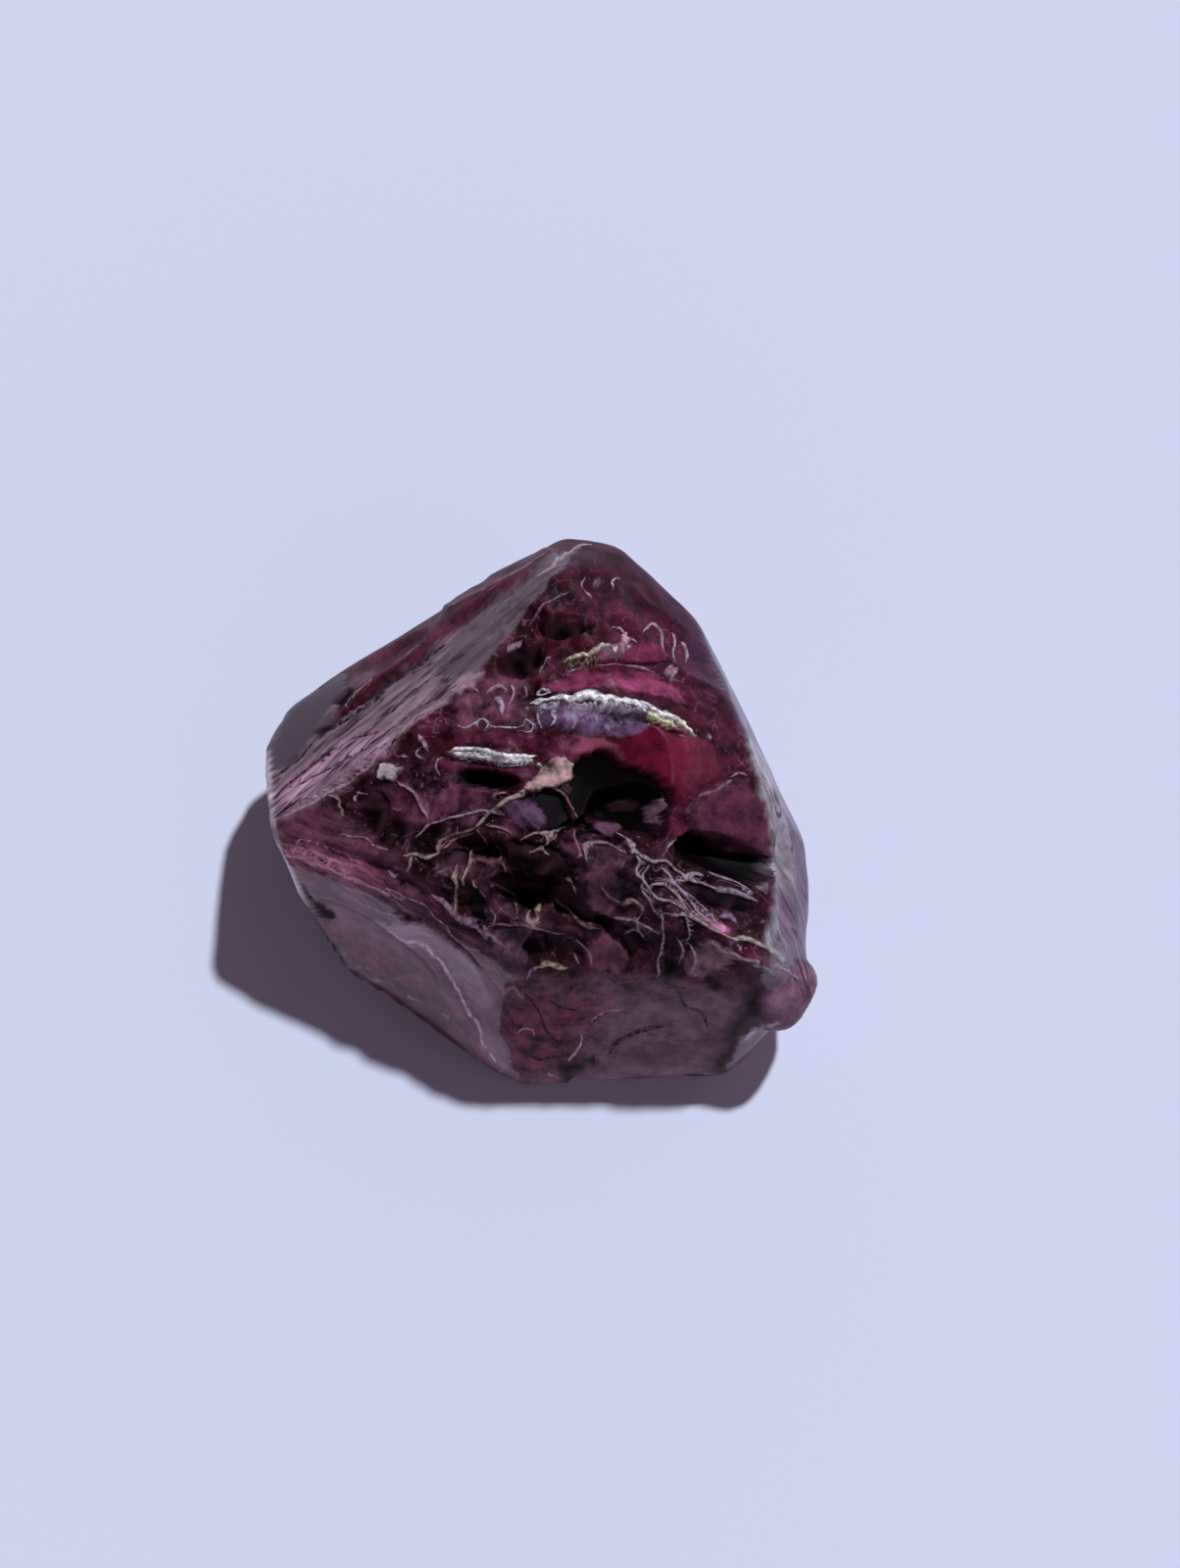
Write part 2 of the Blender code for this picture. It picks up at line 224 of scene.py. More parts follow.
# Relief of the broken ground: low swells everywhere, and on the upper side crests that run between small
# pits. Centre, half length, half width, turn.
ROUGH_GROUND = (
    ((-3.6, -0.9), 2.6, 1.6, -15.0),
    ((1.2, -3.3), 5.2, 1.9, -14.0),
    ((0.8, 4.4), 2.4, 1.6, 30.0),
    ((-1.2, 1.6), 2.4, 1.3, 0.0),
)
ROUGH_FLOOR = 3.0
SWELL_HEIGHT = 0.17
SWELL_SPACING = 2.6
PIT_DEPTH = 0.20
PIT_SPACING = 1.25
FINE_PIT_DEPTH = 0.08
FINE_PIT_SPACING = 0.55
GRIT_HEIGHT = 0.04
GRIT_SPACING = 0.45
FLANK_HEIGHT = 0.07
FLANK_SPACING = 1.3
PLAIN_FACES = ("strip", "left_facet", "end_facet", "outer_strip", "front", "front_left", "base")


def layered_noise(place, spacing, seed):
    """Noise of one spacing plus a finer layer of half the spacing and half the height."""
    return (lattice_noise(place, spacing, seed) + 0.5 * lattice_noise(place, spacing / 2.0, seed + 1)) / 1.6


def cell_crests(place, spacing, seed):
    """Second nearest less nearest distance to points scattered one to a cell: 0 on the crests between."""
    table = np.random.default_rng(seed).random((16, 16, 16, 3))
    scaled = place / spacing
    cell = np.floor(scaled).astype(int)
    nearest = np.full(len(place), 9.0)
    second = np.full(len(place), 9.0)
    for step in np.ndindex(3, 3, 3):
        there = cell + step - 1
        i, j, k = (there % 16).T
        gap = np.linalg.norm(there + table[i, j, k] - scaled, axis=1)
        second = np.minimum(second, np.maximum(nearest, gap))
        nearest = np.minimum(nearest, gap)
    return second - nearest


upper = smooth_step(ROUGH_FLOOR - 0.3, ROUGH_FLOOR + 0.3, point[:, 2])
rough = np.zeros(len(point))
for centre, half_length, half_width, turn in ROUGH_GROUND:
    away = plan + 0.25 * warp - np.array(centre)
    c, s = math.cos(math.radians(turn)), math.sin(math.radians(turn))
    long_part = (away[:, 0] * c + away[:, 1] * s) / half_length
    wide_part = (away[:, 1] * c - away[:, 0] * s) / half_width
    oval = np.hypot(long_part, wide_part)
    rough = np.maximum(rough, smooth_step(1.25, 0.85, oval) * upper)
flatness = sum(face_share[name] for name in PLAIN_FACES)
crests = cell_crests(point + 0.12 * layered_noise(point, 0.8, 31)[:, None], PIT_SPACING, 41)
fine_crests = cell_crests(point + 0.05 * lattice_noise(point, 0.4, 33)[:, None], FINE_PIT_SPACING, 42)
lift = SWELL_HEIGHT * layered_noise(point, SWELL_SPACING, 21) * (1.0 - 0.75 * flatness)
lift -= rough * (PIT_DEPTH * np.minimum(crests, 0.8) + FINE_PIT_DEPTH * np.minimum(fine_crests, 0.7))
lift += (0.015 + GRIT_HEIGHT * rough) * layered_noise(point, GRIT_SPACING, 51) * (1.0 - 0.8 * flatness)
flank = (1.0 - upper_side) * (1.0 - face_share["base"])
lift += FLANK_HEIGHT * layered_noise(point, FLANK_SPACING, 71) * flank

# Ribs and ledges, left where the break ran in steps: full width, height, number of beads on them, plan
# points along the line.
RIBS = {
    "main": (0.42, 0.17, 15, ((-0.4, 2.2), (1.2, 2.2), (2.8, 2.0), (4.3, 1.4))),
    "upper": (0.40, 0.16, 9, ((0.5, 3.4), (1.5, 3.6), (2.5, 4.0))),
    "line": (0.18, 0.10, 0, ((0.5, 3.0), (1.9, 3.2), (3.6, 3.1))),
    "left": (0.34, 0.13, 10, ((-2.7, 0.95), (-1.3, 0.85), (0.0, 0.6))),
    "band_a": (0.46, 0.16, 0, ((-7.0, -1.6), (-3.6, -2.9), (-0.4, -4.8))),
    "band_b": (0.34, 0.12, 0, ((-6.6, -1.2), (-3.6, -2.2), (-1.4, -3.2))),
    "brow": (0.48, 0.12, 0, ((2.6, -2.2), (4.4, -3.0), (6.3, -3.3))),
    "slab": (1.00, 0.26, 0, ((-2.9, 5.0), (-1.1, 6.1), (0.6, 7.0))),
}
GLOSSY_RIBS = ("main", "upper", "left")
BEAD_DEPTH = 0.05


def line_gap(place, points):
    """Plan distance of every place to a smooth line through points, how far along it is, and its side.

    The line is a spline with 6 short steps between points. Along runs from 0 to 1, and the side is 1 or -1.
    Only places near the line are worked out. The rest get a distance of 9.
    """
    knots = np.array(points)
    near = np.all((place > knots.min(0) - 1.0) & (place < knots.max(0) + 1.0), axis=1)
    knots = np.vstack([2.0 * knots[0] - knots[1], knots, 2.0 * knots[-1] - knots[-2]])
    t = np.linspace(0.0, 1.0, 7)[:-1, None]
    parts = []
    for a, b, c, d in zip(knots, knots[1:], knots[2:], knots[3:]):
        parts.append(0.5 * (2.0 * b + (c - a) * t + (2.0 * a - 5.0 * b + 4.0 * c - d) * t**2
                            + (3.0 * b - a - 3.0 * c + d) * t**3))
    line = np.vstack(parts + [knots[-2]])
    step = line[1:] - line[:-1]
    away = place[near][:, None] - line[:-1]
    part = np.clip((away * step).sum(2) / (step**2).sum(1), 0.0, 1.0)
    distance = np.linalg.norm(away - part[..., None] * step, axis=2)
    nearest = distance.argmin(1)
    rows = np.arange(len(nearest))
    gap, along, side = np.full(len(place), 9.0), np.zeros(len(place)), np.ones(len(place))
    gap[near] = distance[rows, nearest]
    along[near] = (nearest + part[rows, nearest]) / len(step)
    turned = step[nearest][:, ::-1] * np.array((-1.0, 1.0))
    side[near] = np.where((away[rows, nearest] * turned).sum(1) < 0.0, -1.0, 1.0)
    return gap, along, side


bend = np.stack([lattice_noise(point, 0.45, 61), lattice_noise(point, 0.45, 62)], 1)
kink = np.stack([lattice_noise(point, 0.16, 63), lattice_noise(point, 0.16, 64)], 1)
wander = plan + 0.05 * bend + 0.012 * kink
rib_cover = np.zeros(len(point))
for name, (width, height, bead_count, points) in RIBS.items():
    gap, along, side = line_gap(wander, points)
    taper = smooth_step(0.0, 0.12, along) * smooth_step(1.0, 0.88, along) * 0.7 + 0.3
    half = width / 2.0 * taper
    profile = np.sqrt(np.clip(1.0 - (gap / half) ** 2, 0.0, 1.0)) * upper
    beads = np.sin(2.0 * math.pi * (along * bead_count + 0.4 * bend[:, 0]))
    lift += (height * taper + BEAD_DEPTH / 2.0 * beads) * profile
    if name in GLOSSY_RIBS:
        rib_cover = np.maximum(rib_cover, smooth_step(1.05, 0.8, gap / half) * upper)

# Grooves of slow growth and cracks, darkened with painted shade: full width, depth, darkness of the painted
# shade, and plan points along the line, X and Y in turn, in hundredths of a millimetre.
GROOVES = {
    "lens": (0.22, 0.16, 0.8, (-640, 196, -580, 231, -494, 284, -429, 334, -342, 398, -287, 432)),
    "crease": (0.25, 0.12, 0.6, (-417, -322, -351, -351, -315, -400, -266, -455, -207, -506, -131, -523)),
    "upper_foot": (0.17, 0.08, 0.6, (84, 330, 147, 336, 247, 353, 388, 370)),
    "rib_foot": (0.17, 0.08, 0.3, (138, 201, 222, 198, 289, 177, 349, 147, 399, 122)),
}


def plan_points(numbers):
    """Plan points in millimetres, from X and Y in turn in hundredths of a millimetre."""
    return [(x / 100.0, y / 100.0) for x, y in zip(numbers[::2], numbers[1::2])]


groove_shade_share = np.zeros(len(point))
for width, depth, darkness, numbers in GROOVES.values():
    gap, along, side = line_gap(wander, plan_points(numbers))
    taper = smooth_step(0.0, 0.2, along) * smooth_step(1.0, 0.8, along)
    cut = smooth_step(1.1, 0.3, gap / (width / 2.0)) * taper * upper_side
    groove_shade_share = np.maximum(groove_shade_share, darkness * cut)
    lift -= depth * cut

# Thin lines on the stone: healed cracks that stand up as threads with iron stain in them; bare crests that
# shine pale, painted highlights, white to golden on the ribs; the light rims of the facets, painted
# highlights too; and painted shade, dark lines at the feet of the ribs and in the grooves. Colour, full
# width, height, plan points along the line as for the grooves.
TAN = "#a08480"
PALE = "#a08a98"
RIB_HIGHLIGHT = "#ffffff"
ROSE = "#b08498"
GREY = "#b0acb8"
GOLDEN_GLINT = "#c4b494"
DARK = "#1a070f"
LINES = (
    # Painted highlights along the crest of the main rib, white turning golden to the right.
    (RIB_HIGHLIGHT, 0.14, 0.05, (-20, 241, 11, 242, 40, 227)),
    (RIB_HIGHLIGHT, 0.22, 0.06, (40, 231, 70, 232, 94, 221)),
    (RIB_HIGHLIGHT, 0.39, 0.1, (89, 228, 122, 241, 153, 236, 170, 217)),
    (RIB_HIGHLIGHT, 0.31, 0.07, (159, 222, 194, 232, 226, 221)),
    ("#e8eef0", 0.28, 0.06, (224, 232, 253, 221, 279, 202)),
    (RIB_HIGHLIGHT, 0.25, 0.06, (272, 222, 306, 214, 332, 189)),
    ("#e6eacc", 0.25, 0.06, (333, 204, 361, 184, 396, 163)),
    ("#ccd0a0", 0.11, 0.05, (293, 190, 326, 173, 360, 153)),
    ("#e4e4c0", 0.14, 0.05, (377, 169, 405, 159, 423, 142)),
    (GREY, 0.08, 0.04, (-4, 219, 26, 208, 51, 211)),
    (GREY, 0.08, 0.04, (86, 207, 119, 204, 146, 207)),
    (GREY, 0.08, 0.04, (180, 209, 213, 206, 245, 197)),
    ("#c8b8d0", 0.07, 0.04, (-9, 257, 5, 268, 26, 264)),
    # Painted golden glints along the upper rib.
    (GOLDEN_GLINT, 0.17, 0.1, (72, 345, 110, 358, 137, 354, 177, 386, 204, 402)),
    ("#a87c8c", 0.08, 0.06, (68, 306, 134, 324, 249, 347, 320, 328)),
    # Painted highlights along the left rib.
    (RIB_HIGHLIGHT, 0.14, 0.1, (-253, 95, -207, 101, -161, 97, -114, 79, -62, 71, -15, 87)),
    (RIB_HIGHLIGHT, 0.11, 0.08, (-244, 86, -185, 81, -119, 65, -64, 61, -23, 71)),
    (GREY, 0.04, 0.03, (-241, 173, -215, 163, -188, 179, -164, 186, -143, 167, -86, 162, -50, 168)),
    (GREY, 0.04, 0.03, (-50, 168, -40, 187, -17, 168, -31, 151, -56, 155)),
    (GREY, 0.04, 0.03, (-178, 162, -183, 181, -162, 187, -146, 171, -165, 156)),
    ("#b0a0b4", 0.14, 0.08, (-124, 245, -108, 225, -107, 197)),
    ("#b0909c", 0.11, 0.08, (-153, 268, -126, 277, -101, 267)),
    ("#a890a8", 0.08, 0.08, (-8, 213, -2, 183, 6, 159)),
    (PALE, 0.08, 0.06, (-41, 280, -36, 256)),
    ("#9c88a8", 0.11, 0.06, (202, 176, 215, 163)),
    (PALE, 0.08, 0.06, (-1, 311, 9, 347, 24, 362)),
    (PALE, 0.07, 0.06, (381, 486, 391, 443, 385, 368)),
    (PALE, 0.08, 0.06, (285, 451, 309, 484, 328, 505, 349, 481, 353, 449, 361, 413)),
    (PALE, 0.08, 0.05, (408, 461, 426, 432, 429, 400)),
    (PALE, 0.07, 0.05, (126, 613, 115, 580, 130, 560, 143, 544)),
    (PALE, 0.07, 0.05, (207, 589, 203, 611, 222, 626)),
    (PALE, 0.06, 0.04, (-8, 495, 12, 511, 29, 525)),
    (PALE, 0.06, 0.04, (-96, 390, -74, 408, -50, 419)),
    (PALE, 0.08, 0.05, (202, 458, 224, 456, 242, 434, 272, 422)),
    ("#7c5068", 0.08, 0.05, (-32, 459, -4, 494, 37, 534, 79, 566)),
    (ROSE, 0.11, 0.08, (-341, 145, -331, 124, -327, 103)),
    (TAN, 0.08, 0.08, (-575, -15, -553, -49, -559, -78)),
    (PALE, 0.07, 0.08, (-519, -35, -521, -17, -505, -6, -489, -13)),
    ("#a8808c", 0.1, 0.1, (-406, 20, -359, -10, -334, -49, -312, -89)),
    (PALE, 0.07, 0.05, (-386, 91, -371, 86)),
    (TAN, 0.11, 0.1, (-378, -193, -351, -191, -316, -200, -296, -194)),
    (TAN, 0.08, 0.1, (-299, -199, -282, -164, -259, -150, -222, -139, -184, -127)),
    (TAN, 0.06, 0.08, (-293, -183, -275, -178, -246, -161, -196, -141)),
    ("#b0948c", 0.1, 0.1, (-184, -127, -162, -105, -135, -79, -104, -55)),
    ("#b0948c", 0.14, 0.12, (-126, -73, -96, -53, -67, -35, -30, -15)),
    (TAN, 0.08, 0.1, (-362, -200, -354, -216, -352, -236)),
    (TAN, 0.08, 0.1, (-175, -136, -161, -162, -191, -207, -218, -204, -227, -232)),
    (PALE, 0.07, 0.08, (-351, -146, -304, -110, -252, -90, -196, -80, -147, -77, -99, -89)),
    (TAN, 0.07, 0.08, (-147, -117, -104, -124, -78, -142)),
    (TAN, 0.08, 0.1, (-225, -222, -215, -248, -211, -270)),
    (TAN, 0.08, 0.1, (-248, -243, -230, -264, -237, -309, -233, -340, -220, -366)),
    ("#70484e", 0.07, 0.06, (-223, -234, -159, -238, -105, -243, -94, -289)),
    (TAN, 0.08, 0.08, (-52, -164, -15, -147, 14, -153, 47, -166)),
    (PALE, 0.08, 0.1, (4, -146, 44, -149, 107, -154)),
    (TAN, 0.07, 0.08, (14, -149, 25, -176, 9, -199)),
    ("#84606a", 0.1, 0.1, (34, -7, 71, -25, 103, -72, 143, -151, 122, -195, 97, -219)),
    (TAN, 0.07, 0.06, (-184, -260, -167, -284, -152, -306)),
    (TAN, 0.07, 0.06, (79, -301, 94, -293, 109, -328)),
    (PALE, 0.1, 0.1, (277, -174, 284, -181, 273, -204, 291, -220, 328, -225)),
    (PALE, 0.08, 0.1, (281, -206, 312, -224, 351, -217, 385, -245, 416, -261, 440, -249)),
    (PALE, 0.08, 0.1, (293, -239, 284, -270, 303, -298, 323, -321, 362, -332, 396, -347, 427, -370)),
    ("#a08888", 0.1, 0.12, (312, -291, 344, -286, 377, -312, 404, -343, 442, -380, 483, -400, 527, -417)),
    (PALE, 0.08, 0.1, (340, -238, 363, -263, 392, -302, 422, -328, 450, -364, 486, -386)),
    ("#988898", 0.17, 0.14, (487, -283, 522, -290, 558, -297, 599, -307)),
    (PALE, 0.08, 0.1, (379, -269, 422, -268, 459, -276, 495, -285)),
    (PALE, 0.11, 0.1, (412, -257, 432, -249, 453, -252)),
    (PALE, 0.07, 0.08, (476, -241, 516, -255, 571, -272, 601, -292)),
    (PALE, 0.07, 0.08, (378, -151, 353, -177, 345, -202)),
    (PALE, 0.07, 0.08, (333, -347, 342, -386, 344, -435, 330, -473, 330, -527)),
    (PALE, 0.07, 0.08, (283, -297, 300, -327, 320, -357, 342, -376)),
    (PALE, 0.07, 0.08, (343, -362, 410, -369, 454, -385, 483, -400)),
    (PALE, 0.07, 0.06, (174, -376, 241, -374, 296, -395, 332, -412)),
    (TAN, 0.08, 0.08, (246, -425, 277, -412, 301, -431)),
    (TAN, 0.11, 0.1, (230, -347, 255, -330, 272, -339, 284, -355)),
    (PALE, 0.07, 0.06, (382, -418, 394, -446, 393, -484)),
    (PALE, 0.07, 0.06, (419, -437, 430, -464, 418, -505)),
    ("#7c6474", 0.07, 0.08, (614, -272, 631, -250, 634, -261, 629, -286, 613, -274)),
    ("#b0a49c", 0.14, 0.12, (527, -416, 564, -415, 611, -431, 651, -452)),
    ("#94a08c", 0.17, 0.1, (645, -441, 667, -449, 681, -469)),
    ("#8c7c80", 0.11, 0.1, (479, -437, 503, -454, 522, -465)),
    (PALE, 0.08, 0.08, (526, -457, 571, -474, 614, -478)),
    ("#84708c", 0.17, 0.08, (503, -356, 533, -353, 551, -368)),
    (PALE, 0.07, 0.08, (260, -206, 273, -229, 267, -263, 299, -284)),
    (PALE, 0.07, 0.08, (322, -272, 358, -275, 402, -304, 427, -339)),
    (PALE, 0.06, 0.06, (376, -288, 417, -310, 472, -352, 494, -379)),
    (PALE, 0.07, 0.06, (405, -341, 419, -395, 409, -437)),
    (PALE, 0.06, 0.06, (281, -355, 268, -390, 305, -445)),
    ("#8c7480", 0.06, 0.06, (135, -233, 132, -208, 185, -206, 236, -203, 247, -209)),
    ("#8c7480", 0.06, 0.05, (168, -298, 196, -324, 230, -342)),
    (TAN, 0.06, 0.06, (-155, -200, -126, -219, -130, -241)),
    (TAN, 0.06, 0.06, (-30, -204, 3, -196, 26, -212)),
    ("#7c5c64", 0.06, 0.05, (-142, -277, -121, -314, -82, -349, -67, -369)),
    ("#7c5c64", 0.06, 0.05, (29, -362, 73, -371, 108, -385, 167, -406)),
    (TAN, 0.06, 0.05, (101, -427, 132, -447, 143, -484)),
    (TAN, 0.06, 0.05, (-139, -333, -122, -357, -134, -384)),
    (PALE, 0.06, 0.05, (543, -410, 548, -440, 570, -458)),
    ("#9c8890", 0.08, 0.06, (601, -491, 631, -497, 655, -506)),
    (PALE, 0.06, 0.05, (-286, 33, -288, 61, -277, 80)),
    (PALE, 0.06, 0.05, (-335, 77, -348, 90, -342, 107)),
    ("#94707c", 0.06, 0.05, (-143, -35, -109, -28, -75, -37)),
    ("#94707c", 0.06, 0.05, (-561, -124, -502, -141, -431, -177)),
    (ROSE, 0.06, 0.05, (-224, 270, -196, 283, -177, 273)),
    ("#c0a8bc", 0.07, 0.06, (-85, 280, -74, 254, -86, 237)),
    ("#c0b0c8", 0.08, 0.06, (31, 199, 41, 181, 32, 164)),
    ("#c0b0c8", 0.07, 0.06, (86, 194, 106, 183, 97, 167)),
    ("#b8a8c0", 0.07, 0.06, (141, 189, 156, 196, 174, 186)),
    ("#8c6c7c", 0.07, 0.06, (-139, -376, -71, -385, -8, -398, 66, -414)),
    (TAN, 0.07, 0.06, (-32, -377, -40, -380, -22, -387, -5, -383, -17, -377)),
    # Painted golden glints on the front.
    (GOLDEN_GLINT, 0.11, 0.08, (-11, -375, 0, -372)),
    (GOLDEN_GLINT, 0.12, 0.1, (-7, -490, 19, -481, 40, -484, 71, -494)),
    (PALE, 0.07, 0.06, (-36, -515, -30, -497, -7, -490)),
    (TAN, 0.08, 0.06, (93, -465, 106, -480)),
    ("#a08078", 0.11, 0.08, (-117, -552, -80, -532, -60, -545, -46, -561)),
    (PALE, 0.07, 0.06, (-424, -231, -408, -243, -395, -240)),
    ("#9c7c94", 0.08, 0.05, (-299, -291, -248, -328, -197, -372, -131, -414)),
    ("#8c6c84", 0.07, 0.05, (-257, -321, -196, -362, -143, -393, -95, -433)),
    # Painted highlights on the streaks of the pink wedge.
    ("#e8a8b8", 0.11, 0.02, (-726, -167, -677, -183, -608, -200, -545, -228, -467, -265, -380, -299)),
    ("#b88498", 0.06, 0.02, (-720, -141, -662, -159, -587, -182, -516, -210)),
    ("#b48ca0", 0.06, 0.02, (-420, -265, -348, -297, -283, -342, -234, -416, -172, -446)),
    ("#9c8494", 0.07, 0.03, (-610, -228, -523, -250, -428, -292, -341, -353)),
    ("#d898ac", 0.06, 0.02, (-716, -158, -652, -176, -581, -198, -515, -226)),
    ("#b07c90", 0.04, 0.02, (-694, -124, -622, -145, -550, -174, -496, -201)),
    # Painted highlight along the crest of the front left face.
    ("#f0dcec", 0.06, 0.03, (-432, -371, -363, -418, -312, -490, -265, -556, -217, -614, -167, -661, -116,
     -735)),
    ("#a48e9c", 0.04, 0.02, (-622, -358, -580, -422, -524, -466, -485, -501, -403, -555, -302, -608, -251,
     -653, -207, -680)),
    ("#9c8694", 0.04, 0.02, (-555, -275, -486, -312, -416, -340, -359, -377)),
    ("#a88c9c", 0.04, 0.02, (-583, -245, -500, -281, -416, -325, -349, -382)),
    ("#a88c9c", 0.08, 0.06, (-737, -70, -661, -45, -569, 8, -496, 45, -449, 89, -409, 135)),
    ("#a88c98", 0.08, 0.06, (-414, 129, -345, 197, -281, 237, -210, 283, -174, 315)),
    ("#947884", 0.08, 0.04, (-414, 166, -347, 181, -294, 225, -224, 270)),
    ("#a4949c", 0.04, 0.03, (-578, 249, -513, 304, -446, 368, -385, 435, -325, 456)),
    ("#a08c94", 0.08, 0.04, (-9, 605, 31, 629, 70, 691, 104, 736, 142, 749)),
    ("#8c6470", 0.08, 0.04, (-262, 523, -165, 559, -73, 609, 22, 670)),
    ("#e8d0e0", 0.06, 0.04, (119, -654, 116, -668, 97, -694, 77, -712)),
    ("#b890a0", 0.06, 0.03, (-76, -649, -53, -632, -25, -637, -17, -656)),
    ("#c8a8b4", 0.06, 0.03, (11, -743, 37, -753, 47, -753)),
    ("#a89098", 0.07, 0.04, (145, -630, 169, -619, 209, -611, 253, -615)),
    ("#1c0810", 0.08, -0.03, (-45, -549, -10, -592, 13, -639, 49, -675)),
    ("#1c0810", 0.08, -0.03, (23, -568, 65, -593, 114, -603)),
    ("#2c1018", 0.08, -0.03, (-67, -679, -20, -709, 21, -710, 64, -693)),
    ("#2c1018", 0.07, -0.02, (394, -564, 423, -597, 469, -616, 482, -650)),
    ("#8c7080", 0.04, 0.02, (163, -680, 252, -685, 332, -675, 396, -656)),
    # Painted sheen along the upper right edge, and a painted highlight on the facet edge by the corner block.
    ("#747088", 0.08, 0, (447, 523, 485, 451, 525, 368, 557, 270, 580, 174)),
    ("#b8a8b4", 0.11, 0.05, (571, -665, 600, -637, 627, -628, 671, -624)),
    ("#9c8494", 0.08, 0.05, (656, -482, 695, -486, 721, -500)),
    ("#8c7c84", 0.08, 0.05, (533, 33, 551, 45, 578, 45)),
    ("#7c6468", 0.07, 0.04, (536, 26, 507, 9, 481, -9, 445, -28)),
    ("#a08888", 0.11, 0.06, (464, 147, 470, 132)),
    (DARK, 0.22, -0.06, (-629, 184, -563, 213, -484, 263, -417, 329, -331, 381, -275, 418)),
    (DARK, 0.08, -0.05, (-766, 55, -700, 102, -638, 158)),
    ("#2c1420", 0.1, -0.06, (-762, -7, -696, 45, -618, 114, -569, 133)),
    ("#2c1420", 0.08, -0.05, (-694, 21, -611, 57, -553, 90, -473, 120)),
    ("#2c1420", 0.08, -0.05, (-754, -66, -706, -38, -659, -19)),
    ("#2c1420", 0.08, -0.05, (-482, 173, -438, 216, -403, 236)),
    ("#3c2030", 0.07, -0.05, (-612, 99, -570, 124, -521, 157, -475, 163)),
    ("#3c2030", 0.07, -0.04, (-414, 166, -362, 213, -308, 248, -251, 286)),
    ("#2c1420", 0.08, -0.05, (-291, 351, -253, 366, -213, 384)),
    ("#3c2030", 0.07, -0.04, (-569, 16, -508, 46, -464, 74)),
    ("#4c3040", 0.07, -0.03, (-389, 256, -321, 309, -266, 344)),
    ("#4c3040", 0.06, -0.03, (-226, 470, -168, 517, -107, 569)),
    (DARK, 0.11, -0.05, (-575, 260, -560, 291, -527, 309)),
    ("#2c0a14", 0.17, -0.06, (-407, -328, -346, -369, -308, -408, -262, -462, -203, -511, -131, -523)),
    ("#2c1018", 0.08, -0.03, (148, -638, 171, -625, 213, -616, 257, -624)),
    ("#1c0810", 0.14, -0.02, (196, -700, 222, -683, 262, -672, 299, -661, 354, -649)),
    # Painted shade: dark lines at the feet of the main, upper and left ribs.
    (DARK, 0.08, -0.05, (137, 202, 221, 199, 288, 179, 349, 148, 399, 125)),
    (DARK, 0.1, -0.06, (78, 328, 147, 334, 248, 358, 391, 377)),
    (DARK, 0.08, -0.05, (-256, 72, -194, 66, -100, 45, -17, 55)),
    (DARK, 0.08, -0.05, (-427, 94, -414, 129, -382, 153)),
)


def linear(code):
    """The linear colour of an sRGB hex code."""
    values = np.array([int(code[i : i + 2], 16) / 255.0 for i in (1, 3, 5)])
    return np.where(values <= 0.04045, values / 12.92, ((values + 0.055) / 1.055) ** 2.4)


seen = (upper_side > 0.5) | (knob_share > 0.5)
line_nearest = np.full(len(point), 9.0)
line_side = np.ones(len(point))
line_colour = np.tile(linear(PALE), (len(point), 1))
line_lift = np.zeros(len(point))
for colour, width, height, numbers in LINES:
    gap, along, side = line_gap(wander, plan_points(numbers))
    ends = smooth_step(0.0, 0.15, along) * smooth_step(1.0, 0.85, along) * 0.6 + 0.4
    gap = np.where(seen, gap / (width / 2.0 * ends), 9.0)
    raised = height * ends * smooth_step(2.0, 0.2, gap)
    line_lift = np.where(np.abs(raised) > np.abs(line_lift), raised, line_lift)
    line_colour[gap < line_nearest] = linear(colour)
    line_side = np.where(gap < line_nearest, side, line_side)
    line_nearest = np.minimum(line_nearest, gap)
lift += line_lift

# The skin's colours, partly painted light: wine-red where light comes back out, a painted glow; nearly black
# where it goes on down, painted dark; grey-mauve where the sky shines off a flat face, a painted reflection,
# which on the dull faces stands in for the mirroring. Each face has a colour, clearness, roughness and how
# mottled it is.
FACE_SKIN = {
    "strip": ("#7c6670", 0.0, 0.4, 0.1),
    "left_facet": ("#3c2c38", 0.1, 0.2, 0.05),
    "end_facet": ("#4c2e3a", 0.0, 0.4, 0.4),
    "outer_strip": ("#48202e", 0.0, 0.4, 0.6),
    "top_left": ("#36101c", 0.0, 0.4, 0.8),
    "top_back": ("#36101c", 0.0, 0.4, 0.9),
    "top_right": ("#421426", 0.0, 0.4, 0.8),
    "pink_band": ("#684258", 0.0, 0.4, 0.4),
    "front_left": ("#7c5262", 0.0, 0.3, 0.35),
    "front": ("#7a606c", 0.0, 0.4, 0.3),
    "front_brow": ("#4a2832", 0.0, 0.4, 0.6),
    "shoulder_in": ("#36101e", 0.0, 0.4, 0.8),
    "shoulder_out": ("#3a1c30", 0.0, 0.35, 0.4),
    "shoulder_back": ("#3c1826", 0.0, 0.4, 0.6),
    "right_back": ("#5c4860", 0.1, 0.3, 0.3),
    "right_mid": ("#6c566c", 0.1, 0.3, 0.2),
    "front_right": ("#684658", 0.1, 0.3, 0.2),
}
FLANK_SKIN = ("#4a1828", 0.25, 0.3, 0.8)
KNOB_SKIN = ("#6e5062", 0.0, 0.4, 0.4)
GROUND_SKIN = ("#361019", 0.0, 0.4, 1.0)
PIT_SHADE = ("#180609", 0.0, 0.4, 0.8)
CREST_LIGHT = ("#5c3444", 0.0, 0.4, 0.8)
GROOVE_SHADE = ("#0d0306", 0.0, 0.35, 0.2)
# Painted highlight along the far left rim.
RIM_HIGHLIGHT = ("#f0dcea", 0.0, 0.4, 0.1)
DULL_FACES = ("strip", "outer_strip", "end_facet", "top_left", "top_back", "top_right", "shoulder_in",
              "shoulder_out", "shoulder_back", "pink_band", "front_brow", "front")
DULL_ROUGHNESS = 0.345
